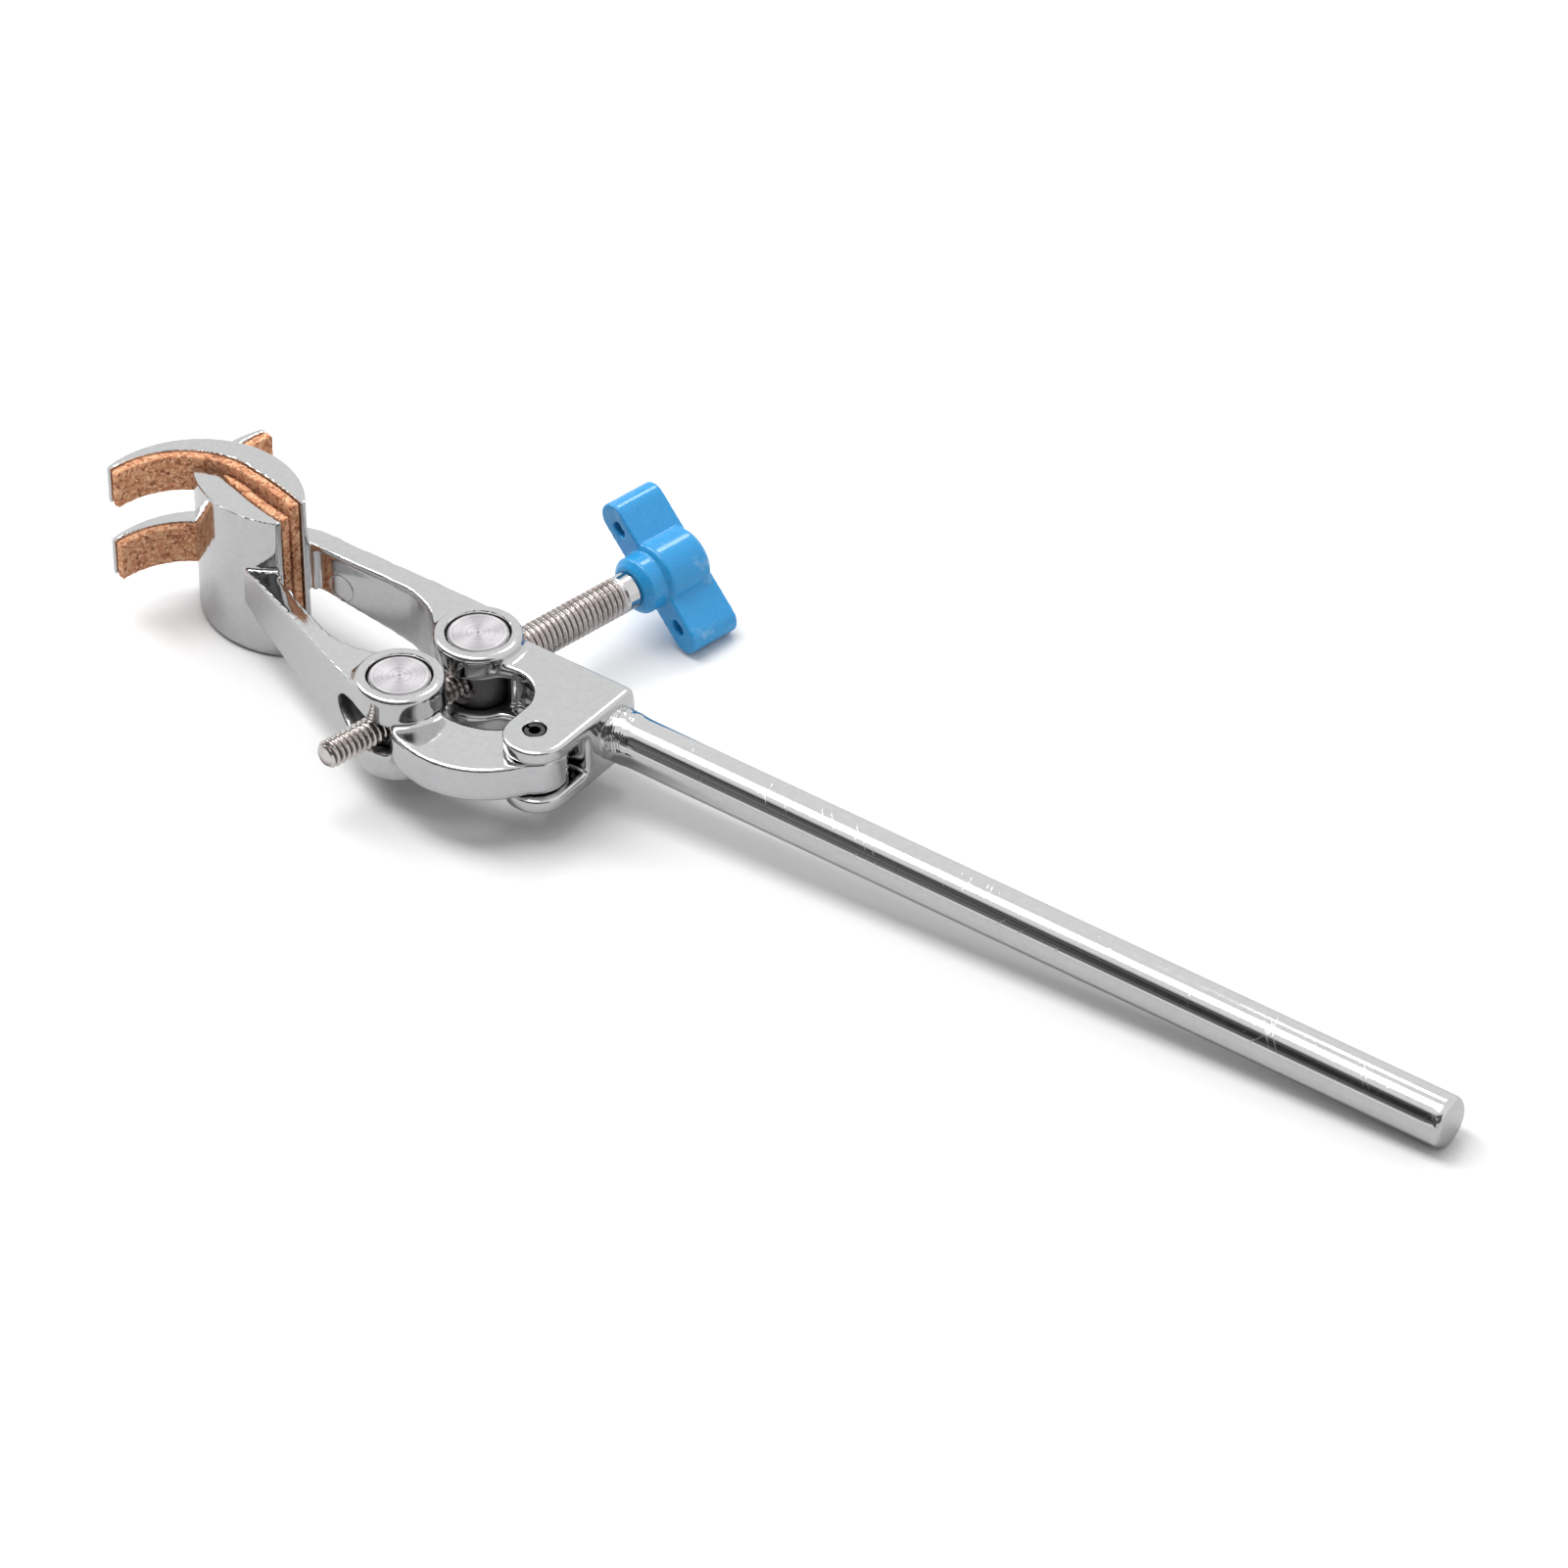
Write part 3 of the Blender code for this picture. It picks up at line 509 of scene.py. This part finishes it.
# Pressed cork: granules of several browns, dark crumbs between them
corkLook = dict(granule=1700.0, crumb=2600.0, dark=(0.29, 0.098, 0.044), brown=(0.60, 0.24, 0.115),
                tan=(0.80, 0.37, 0.195), pale=(0.94, 0.57, 0.335), seam=(0.17, 0.06, 0.03),
                wander=900.0, wanderReach=1.1 * mm, seamWidth=0.09, seamShare=0.5,
                crumbReach=(0.61, 0.70), crumbShare=0.85, grainDepth=0.12 * mm, roughness=0.88)


# Scattered cells on a place shifted by noise: each cell picks its brown, its edge is a dark seam,
# and crumbs are dark too. Height = noise - dark.
def makeCork():
    surface, tree, shader, place = newSurface("corkSheet", Roughness=corkLook["roughness"])
    wander = addNode(tree, "TexNoise", {"Vector": place, "Scale": corkLook["wander"],
                                        "Detail": 3.0}).outputs["Color"]
    shift = addNode(tree, "VectorMath", {0: wander, 1: (corkLook["wanderReach"],) * 3},
                    operation="MULTIPLY").outputs[0]
    warped = addNode(tree, "VectorMath", {0: place, 1: shift}, operation="ADD").outputs[0]
    cells = addNode(tree, "TexVoronoi", {"Vector": warped, "Scale": corkLook["granule"]})
    pick = addNode(tree, "SeparateColor", {"Color": cells.outputs["Color"]}).outputs[0]
    granules = rampOf(tree, pick, (0.0, corkLook["dark"]), (0.16, corkLook["brown"]), (0.5, corkLook["tan"]),
                      (1.0, corkLook["pale"]))
    edges = addNode(tree, "TexVoronoi", {"Vector": warped, "Scale": corkLook["granule"]},
                    feature="DISTANCE_TO_EDGE").outputs["Distance"]
    seams = rangeOf(tree, edges, 0.0, corkLook["seamWidth"], corkLook["seamShare"], 0.0)
    crumbs = rangeOf(tree, noiseOf(tree, place, corkLook["crumb"], 3.0, 0.7), *corkLook["crumbReach"],
                     0.0, corkLook["crumbShare"])
    dark = mathOf(tree, "MAXIMUM", seams, crumbs)
    tree.links.new(mixOf(tree, dark, granules, corkLook["seam"]), shader.inputs["Base Color"])
    relief = mathOf(tree, "SUBTRACT", noiseOf(tree, place, corkLook["crumb"], 4.0, 0.7), dark)
    addBumps(tree, shader, (relief, corkLook["grainDepth"]))
    return surface


screwSteel = makeSteel(screwLook)
pinSteel = makeSteel(pinLook)
bluePlastic = makePlastic()
corkSheet = makeCork()
print("materials ready")

# The two chrome castings: copies of the CAD solids with their corners melted, less at the bores
castings = dict(facet=0.33 * mm, passes=20, boreWeight=0.06, boreReach=(6.7 * mm, 7.8 * mm),
                pinReach=(2.3 * mm, 3.2 * mm), armWeight=0.3, armReach=(36 * mm, 44 * mm),
                jawWeight=0.35, jawReach=(66 * mm, 72 * mm), insideReach=(8.1 * mm, 8.4 * mm),
                insideTop=(9.0 * mm, 9.3 * mm))

# The long round-ended opening that the screw leaves by, seen along the normal of the arm's outer
# face: shift along the arm, half its length and height, and its floor and mouth from the nut
frontSlot = dict(normal=64.3, shift=1.0 * mm, halfLength=8.6 * mm, halfHeight=3.8 * mm, floor=5.5 * mm,
                 mouth=14 * mm, columns=64, margin=0.12 * mm)

# The opening that faces the throat, cut in the CAD: its first and last direction and half its height
rearSlot = dict(first=65.15, last=144.15, half=4.05 * mm, far=13 * mm, margin=0.12 * mm)


# How freely each point melts: little beside a nut's bore or the pin's, less along the arm, and
# least at the jaw.
def boreWeights(points, nut):
    fromNut = np.linalg.norm((points - nut)[:, :2], axis=1)
    fromPin = np.linalg.norm((points - hingePin)[:, :2], axis=1)
    free = easeBetween(*castings["boreReach"], fromNut) * easeBetween(*castings["pinReach"], fromPin)
    arm = 1 - (1 - castings["armWeight"]) * easeBetween(*castings["armReach"], fromPin)
    jaw = 1 - (1 - castings["jawWeight"]) * easeBetween(*castings["jawReach"], fromPin)
    return (castings["boreWeight"] + (1 - castings["boreWeight"]) * free) * arm * jaw


# How much of the bare, dull inside of a boss a point shows, where it is painted dark as shade: 1 in the bore,
# 0 outside.
def insideShare(points, nut):
    fromNut = np.linalg.norm((points - nut)[:, :2], axis=1)
    within = 1 - easeBetween(*castings["insideReach"], fromNut)
    return within * (1 - easeBetween(*castings["insideTop"], np.abs(points[:, 2])))


# A level direction from its angle in degrees: (cos, sin, 0).
def planWay(angle):
    return np.array([cos(radians(angle)), sin(radians(angle)), 0.0])


# An elliptic cylinder out through the boss, of radius 1 / sqrt((cos / length)^2 + (sin / height)^2).
def frontSlotCutter():
    way = planWay(frontSlot["normal"])
    along = np.array([frontSlot["floor"], frontSlot["mouth"]])
    angle = np.linspace(0, 2 * pi, frontSlot["columns"], endpoint=False)
    radius = 1 / np.hypot(np.cos(angle) / frontSlot["halfLength"], np.sin(angle) / frontSlot["halfHeight"])
    origin = frontNut + frontSlot["shift"] * np.cross(way, upward)
    mesh = turnedMesh("slotCutter", origin, way, along, np.tile(radius, (2, 1)))
    cutter = bpy.data.objects.new("slotCutter", mesh)
    bpy.context.scene.collection.objects.link(cutter)
    return cutter


# Which points lie in the front opening's walls and floor: inside the same ellipse, a margin wider.
def frontSlotShare(points):
    way = planWay(frontSlot["normal"])
    offset = points - frontNut
    length = offset @ np.cross(way, upward) - frontSlot["shift"]
    length = length / (frontSlot["halfLength"] + frontSlot["margin"])
    height = points[:, 2] / (frontSlot["halfHeight"] + frontSlot["margin"])
    return (np.hypot(length, height) < 1) & (offset @ way > frontSlot["floor"] - frontSlot["margin"])


# Which points lie in the walls of the opening towards the throat: between its two sides.
def rearSlotShare(points):
    offset = (points - rearNut)[:, :2]
    first, last = planWay(rearSlot["first"]), planWay(rearSlot["last"])
    edge = rearSlot["half"] + rearSlot["margin"]
    between = (first[0] * offset[:, 1] - first[1] * offset[:, 0] > -edge) \
        & (last[0] * offset[:, 1] - last[1] * offset[:, 0] < edge)
    ahead = (offset @ planWay(screwAngle)[:2] > 0) & (np.linalg.norm(offset, axis=1) < rearSlot["far"])
    return between & ahead & (np.abs(points[:, 2]) < edge)


# A casting: the even copy, melted by its weights, with its bare inside walls, dull and painted dark as shade,
# marked 1 and the rest 0.
def makeCasting(name, node, body, nut, slotShare, cutter=None):
    mesh = evenCopy(name, node, castings["facet"], cutter)
    melt(mesh, castings["passes"], boreWeights(meshPoints(mesh), nut))
    points = meshPoints(mesh)
    inside = np.maximum(insideShare(points, nut), slotShare(points))
    mesh.attributes.new("inside", "FLOAT", "POINT").data.foreach_set("value", inside)
    addPiece(name, mesh, castingChrome, body, "cast_chrome", node)


slotCutter = frontSlotCutter()
makeCasting("headChrome", "head_casting", "head", rearNut, rearSlotShare)
makeCasting("leverChrome", "swing_lever", "lever", frontNut, frontSlotShare, slotCutter)
bpy.data.objects.remove(slotCutter, do_unlink=True)

# The support rod, with the rough bead where it was fixed into the head. Each row of the two lists is
# a wave: its share, then turns round the rod, radians a metre along it and start, twice.
rodBar = dict(columns=120, endRound=1.4 * mm, endRows=14, plainRows=180, beadLength=6.0 * mm,
              beadShare=0.6, beadRise=0.22 * mm, lipLength=1.1 * mm, lipRise=0.22 * mm,
              ripple=0.07 * mm, beadRows=60, sink=0.1 * mm, spigotShare=0.7,
              dentReach=(0.5 * mm, 3.2 * mm), dent=0.09 * mm,
              ripples=((1.0, 3, 700, 0, 5, -1900, 1.3), (0.6, 11, 2600, 0, 7, 0, 0.4),
                       (0.5, 17, -4100, 0, 2, 5200, 0)),
              dents=((1.0, 9, 900, 0, 4, -2300, 0.7),))


# The sum over the waves of share * sin(turns * angle + rate * along + start) times a second sine.
def crossedWaves(waves, angle, along):
    return sum(share * np.sin(turns * angle + rate * along + start)
               * np.sin(otherTurns * angle + otherRate * along + otherStart)
               for share, turns, rate, start, otherTurns, otherRate, otherStart in waves)


# radius = body + bead + ripples - dents, by the place along the rod and the angle round it, where the
# rounded end is body = reach - rounding + sqrt(rounding^2 - (rounding - along)^2).
def makeRod():
    end, reach = nodeSpan("support_rod", np.zeros(3), rodAxis)[1:]
    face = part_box("head_casting")[0].x
    rounding = rodBar["endRound"]
    turn = np.linspace(0, pi / 2, rodBar["endRows"])
    ends = rounding * (1 - np.cos(turn))
    bead = face - rodBar["beadLength"]
    along = np.concatenate([ends, np.linspace(rounding, bead, rodBar["plainRows"])[1:],
                            np.linspace(bead, face + rodBar["sink"], rodBar["beadRows"])[1:]])
    angle = np.linspace(0, 2 * pi, rodBar["columns"], endpoint=False)
    inside = np.clip(rounding - along, 0, None)
    body = reach - rounding + np.sqrt(rounding ** 2 - inside ** 2)
    rise = rodBar["beadRise"] * easeBetween(bead, bead + rodBar["beadShare"] * rodBar["beadLength"], along)
    rise = rise + rodBar["lipRise"] * easeBetween(face - rodBar["lipLength"], face, along) ** 2
    wave = crossedWaves(rodBar["ripples"], angle, along[:, None])
    rough = rodBar["ripple"] * easeBetween(bead, face - rodBar["lipLength"], along)[:, None] * wave
    knock = crossedWaves(rodBar["dents"], angle, along[:, None])
    fade = easeBetween(0, rodBar["dentReach"][0], along) * (1 - easeBetween(*rodBar["dentReach"], along))
    radii = body[:, None] + rise[:, None] + rough - rodBar["dent"] * fade[:, None] * knock ** 2
    along = np.append(along, [along[-1], end])
    tail = np.full((2, rodBar["columns"]), rodBar["spigotShare"] * reach)
    mesh = turnedMesh("rodBar", np.zeros(3), rodAxis, along, np.vstack([radii, tail]))
    addPiece("rodBar", mesh, rodChrome, "head", "rod_chrome", "support_rod")


makeRod()

# The screw: thick left-hand thread by the knob, thin right-hand thread at the tip
screwThread = dict(pitch=1.25 * mm, depth=0.75 * mm, crest=0.2, columns=44, rowsPerTurn=14, change=4.0 * mm,
                   thinRadius=2.8 * mm, shankRadius=2.5 * mm, tipCone=0.8 * mm, runOut=1.0 * mm,
                   fromCollar=0.05 * mm)


# radius = crest radius - depth * groove, where groove is a V with flats whose phase is
# along / pitch, plus or minus angle / 2 pi, so that it winds to the left or to the right.
def makeScrew():
    start, end, reach = nodeSpan("clamp_screw", rearNut, screwAxis)
    collarEnd = nodeSpan("screw_collar", rearNut, screwAxis)[1]
    pitch = screwThread["pitch"]
    rows = int((end - collarEnd) / pitch * screwThread["rowsPerTurn"])
    threadStart = collarEnd + screwThread["fromCollar"]
    along = np.linspace(threadStart, end, rows)[:, None]
    angle = np.linspace(0, 2 * pi, screwThread["columns"], endpoint=False)
    thin = along > screwThread["change"]
    crest = np.where(thin, screwThread["thinRadius"], reach)
    phase = np.mod(along / pitch + np.where(thin, -1, 1) * angle / (2 * pi), 1)
    groove = np.clip(np.abs(2 * phase - 1) * (1 + 2 * screwThread["crest"]) - screwThread["crest"], 0, 1)
    groove = groove * easeBetween(0, screwThread["runOut"], along - collarEnd)
    radii = crest - screwThread["depth"] * groove
    coneStart = screwThread["thinRadius"] - screwThread["tipCone"]
    radii = np.minimum(radii, coneStart + (end - along))
    shank = np.full((2, screwThread["columns"]), screwThread["shankRadius"])
    along = np.concatenate([[start, threadStart], along[:, 0]])
    mesh = turnedMesh("clampThread", rearNut, screwAxis, along, np.vstack([shank, radii]))
    depths = np.concatenate([np.zeros(shank.size), groove.ravel(), np.zeros(2)])
    mesh.attributes.new("groove", "FLOAT", "POINT").data.foreach_set("value", depths)
    addPiece("clampThread", mesh, screwSteel, "screw", "steel", "clamp_screw")


makeScrew()

# The bright collar between thread and knob: a short turned ring with soft edges and a waist
collarRing = dict(columns=64, rows=24, edge=0.28 * mm, waist=0.06 * mm)


# radius = reach - edge + sqrt(edge^2 - inset^2) - waist * (1 - t^2), where t runs from -1 to 1 along
# the collar and inset is how far a row lies inside the rounded edge.
def makeCollar():
    start, end, reach = nodeSpan("screw_collar", rearNut, screwAxis)
    half = (end - start) / 2
    turn = np.linspace(-1, 1, collarRing["rows"])
    offset = half * np.sin(turn * pi / 2)
    along = (start + end) / 2 + offset
    fromEnd = np.clip(collarRing["edge"] - (half - np.abs(offset)), 0, None)
    radius = reach - collarRing["edge"] + np.sqrt(collarRing["edge"] ** 2 - fromEnd ** 2)
    radius = radius - collarRing["waist"] * (1 - turn ** 2)
    radii = np.repeat(radius[:, None], collarRing["columns"], 1)
    mesh = turnedMesh("collarRing", rearNut, screwAxis, along, radii)
    addPiece("collarRing", mesh, rodChrome, "screw_carrier", "rod_chrome", "screw_collar")


makeCollar()

# The wing knob, as moulded: all corners soft
wingGrip = dict(facet=0.25 * mm, passes=4)


# The knob: an even copy of the CAD node, melted alike all over.
def makeKnob():
    mesh = evenCopy("wingGrip", "wing_knob", wingGrip["facet"])
    melt(mesh, wingGrip["passes"])
    addPiece("wingGrip", mesh, bluePlastic, "screw", "blue_plastic", "wing_knob")


makeKnob()

# The cork linings: cut sheets with crumbly faces
corkLining = dict(facet=0.27 * mm, passes=2, lumpSize=0.8 * mm, lumpDepth=2, lumpHeight=0.2 * mm)


# point - normal * height * lump, with a noise for the lump, so that the sheet only loses crumbs.
def makeLining(name, node, body):
    mesh = evenCopy(name, node, corkLining["facet"])
    melt(mesh, corkLining["passes"])
    piece = addPiece(name, mesh, corkSheet, body, "cork_sheet", node)
    lumps = bpy.data.textures.new(name + "Lumps", "CLOUDS")
    lumps.noise_scale = corkLining["lumpSize"]
    lumps.noise_depth = corkLining["lumpDepth"]
    crumble = piece.modifiers.new("crumble", "DISPLACE")
    crumble.texture = lumps
    crumble.texture_coords = "LOCAL"
    crumble.mid_level = 1.0
    crumble.strength = corkLining["lumpHeight"]


makeLining("fixedCork", "fixed_jaw_cork", "head")
makeLining("movingCork", "moving_jaw_cork", "lever")

# The ejector's ring in the pan of each arm: a thin bead on the pan's floor
ejectorRing = dict(along=38.3 * mm, below=4.8 * mm, height=-1.3 * mm, radius=2.9 * mm, bead=0.13 * mm,
                   armAngle=-1.5, closingAngle=-12.6, columns=64, rows=10)


# A ring over two angles: (radius + bead cos t) round the ring's middle, and bead sin t out of the floor.
def makeEjectorRing(name, body, place):
    ring = np.linspace(0, 2 * pi, ejectorRing["columns"], endpoint=False)
    tube = np.linspace(0, 2 * pi, ejectorRing["rows"], endpoint=False)
    ringAngle, tubeAngle = np.meshgrid(ring, tube, indexing="ij")
    wide = ejectorRing["radius"] + ejectorRing["bead"] * np.cos(tubeAngle)
    local = np.stack([wide * np.cos(ringAngle), ejectorRing["bead"] * np.sin(tubeAngle),
                      wide * np.sin(ringAngle)], -1).reshape(-1, 3)
    rows, columns = ejectorRing["rows"], ejectorRing["columns"]
    first = np.arange(columns)[:, None] * rows
    second = np.roll(np.arange(columns), -1)[:, None] * rows
    step = np.arange(rows)
    after = np.roll(step, -1)
    quads = np.stack([first + step, first + after, second + after, second + step], -1).reshape(-1, 4)
    mesh = bpy.data.meshes.new(name)
    mesh.from_pydata(local.tolist(), [], quads.tolist())
    work = bmesh.new()
    work.from_mesh(mesh)
    bmesh.ops.recalc_face_normals(work, faces=work.faces)
    work.to_mesh(mesh)
    work.free()
    mesh.transform(place)
    addPiece(name, mesh, castingChrome, body, "cast_chrome")


# The fixed arm's pan by its place from the rear nut, and the moving arm's by a half turn about the
# line where the jaws meet
fixedPan = (Matrix.Translation(Vector(rearNut)) @ Matrix.Rotation(radians(ejectorRing["armAngle"]), 4, "Z")
            @ Matrix.Translation((ejectorRing["along"], -ejectorRing["below"], ejectorRing["height"])))
meeting = Matrix.Translation(Vector(hingePin)) @ Matrix.Rotation(radians(ejectorRing["closingAngle"]), 4, "Z")
halfTurn = meeting @ Matrix.Rotation(pi, 4, "X") @ meeting.inverted()
makeEjectorRing("fixedArmRing", "head", fixedPan)
makeEjectorRing("movingArmRing", "lever", halfTurn @ fixedPan)


# Gives its finish to a CAD node that stays as it is.
def dress(node, surface):
    mesh = frame["nodes"][node].data
    mesh.materials.clear()
    mesh.materials.append(surface)


dress("rear_barrel_nut", makeNutMetal("rearNutMetal", rearNut))
dress("front_barrel_nut", makeNutMetal("frontNutMetal", frontNut))
dress("hinge_pin", pinSteel)
print("CAD nodes dressed")

# The pale table that the clamp lies on
table = dict(half=3.0, colour=(0.84, 0.84, 0.84), paleShare=0.985, mottle=3.0, paintedReflectionGrey=(0.53, 0.53, 0.535),
             roughness=0.6, start=(-5 * mm, -0.04, 0.0), rounds=12, clearance=0.05 * mm)


# z = a + b x + c y through the lowest corner of the rod, of the lever and of the knob, found again
# each round with the plane's own slope, so that the clamp rests on all three.
def restingPlane():
    sets = [nodePoints(node) for node in ("support_rod", "swing_lever", "wing_knob")]
    plane = np.array(table["start"])
    for turn in range(table["rounds"]):
        above = [points[:, 2] - (plane[0] + points[:, :2] @ plane[1:]) for points in sets]
        rests = np.array([points[np.argmin(gap)] for points, gap in zip(sets, above)])
        plane = np.linalg.solve(np.column_stack([np.ones(3), rests[:, :2]]), rests[:, 2])
    everything = np.vstack([nodePoints(node) for node in frame["nodes"]])
    gap = everything[:, 2] - (plane[0] + everything[:, :2] @ plane[1:])
    plane[0] = plane[0] + min(0.0, gap.min()) - table["clearance"]
    return plane


# A square in the resting plane, with a faint mottle, and a painted darker reflection: greyer where the chrome
# mirrors it.
def makeTable():
    plane = restingPlane()
    print("table slope", np.degrees(np.arctan(plane[1:])).round(2).tolist())
    middle = (cadBox[0] + cadBox[1]) / 2
    side = np.array([[-1, -1], [1, -1], [1, 1], [-1, 1]]) * table["half"] + np.array(middle)[:2]
    corners = np.column_stack([side, plane[0] + side @ plane[1:]])
    mesh = bpy.data.meshes.new("tableTop")
    mesh.from_pydata(corners.tolist(), [], [(0, 1, 2, 3)])
    surface, tree, shader, place = newSurface("tableTop", Roughness=table["roughness"])
    mottle = noiseOf(tree, place, table["mottle"], 2.0)
    pale = tuple(table["paleShare"] * channel for channel in table["colour"])
    shown = rampOf(tree, mottle, (0.35, pale), (0.65, table["colour"]))
    inChrome = addNode(tree, "LightPath").outputs["Is Glossy Ray"]  # the chrome sees a greyer table
    # Painted reflection: glossy rays see the table greyer than the camera does
    tree.links.new(mixOf(tree, inChrome, shown, table["paintedReflectionGrey"]), shader.inputs["Base Color"])
    mesh.materials.append(surface)
    top = bpy.data.objects.new("tableTop", mesh)
    bpy.context.scene.collection.objects.link(top)


makeTable()

# The camera stands where the photograph was taken from
photoView = dict(azimuth=216.67, elevation=38.84, distance=1.4, lens=174.25, sensor=36.0,
                 target=(0.15031, -0.00636, 0.0))


# It looks along (-sin a cos e, cos a cos e, -sin e), a and e being its azimuth and elevation, at
# the target from the distance.
def makeCamera():
    turn = radians(photoView["azimuth"])
    tilt = radians(photoView["elevation"])
    forward = Vector((-sin(turn) * cos(tilt), cos(turn) * cos(tilt), -sin(tilt)))
    lens = bpy.data.cameras.new("photoCamera")
    lens.lens = photoView["lens"]
    lens.sensor_width = photoView["sensor"]
    camera = bpy.data.objects.new("photoCamera", lens)
    camera.location = Vector(photoView["target"]) - forward * photoView["distance"]
    camera.rotation_euler = forward.to_track_quat("-Z", "Y").to_euler()
    bpy.context.scene.collection.objects.link(camera)
    bpy.context.scene.camera = camera


makeCamera()

# Studio light: a pale room that is dark in front of the clamp, a wide soft box above it, and a
# small one behind it
studio = dict(room=0.92, dark=(0.03, 0.2), darkSide=(0.12, 0.34), darkTop=(0.68, 0.76),
              darkFoot=(0.02, 0.12), cloud=7.0, cloudReach=(0.4, 0.6), strength=1.0,
              boxes=(dict(way=(0.465, 0.055, 0.87), away=1.3, wide=1.5, deep=0.5, power=15.0),
                     dict(way=(0.234, -0.58, 0.78), away=1.3, wide=0.22, deep=0.22, power=1.8)))


# level = room + dark * (depth - room): dark is 1 in front of the clamp, between foot and top.
def makeRoom():
    world = bpy.data.worlds.new("studioRoom")
    world.use_nodes = True
    bpy.context.scene.world = world
    tree = world.node_tree
    way = addNode(tree, "TexCoord").outputs["Generated"]
    parts = addNode(tree, "SeparateXYZ", {"Vector": way}).outputs
    darkSide = rangeOf(tree, parts["Y"], *studio["darkSide"], 0.0, 1.0)
    lowPart = rangeOf(tree, parts["Z"], *studio["darkTop"], 1.0, 0.0)
    aboveFloor = rangeOf(tree, parts["Z"], *studio["darkFoot"], 0.0, 1.0)
    dark = mathOf(tree, "MULTIPLY", mathOf(tree, "MULTIPLY", darkSide, lowPart), aboveFloor)
    depths = rangeOf(tree, noiseOf(tree, way, studio["cloud"], 2.0), *studio["cloudReach"], *studio["dark"])
    level = mathOf(tree, "MULTIPLY_ADD", dark, mathOf(tree, "SUBTRACT", depths, studio["room"]))
    level.node.inputs[2].default_value = studio["room"]
    tree.links.new(level, tree.nodes["Background"].inputs["Color"])
    tree.nodes["Background"].inputs["Strength"].default_value = studio["strength"]


# A soft box that faces the clamp from one way, its long side along the rod.
def makeSoftBox(settings):
    lamp = bpy.data.lights.new("softBox", "AREA")
    lamp.shape = "RECTANGLE"
    lamp.size = settings["wide"]
    lamp.size_y = settings["deep"]
    lamp.energy = settings["power"]
    box = bpy.data.objects.new("softBox", lamp)
    way = Vector(settings["way"]).normalized()
    box.location = Vector(photoView["target"]) + way * settings["away"]
    deep = (way.cross(Vector(rodAxis))).cross(way).normalized()
    tall = way.cross(deep)
    box.rotation_euler = Matrix((deep, tall, way)).transposed().to_euler()
    bpy.context.scene.collection.objects.link(box)


makeRoom()
for lampBox in studio["boxes"]:
    makeSoftBox(lampBox)
bpy.context.scene.view_settings.view_transform = "Standard"
print("studio ready")
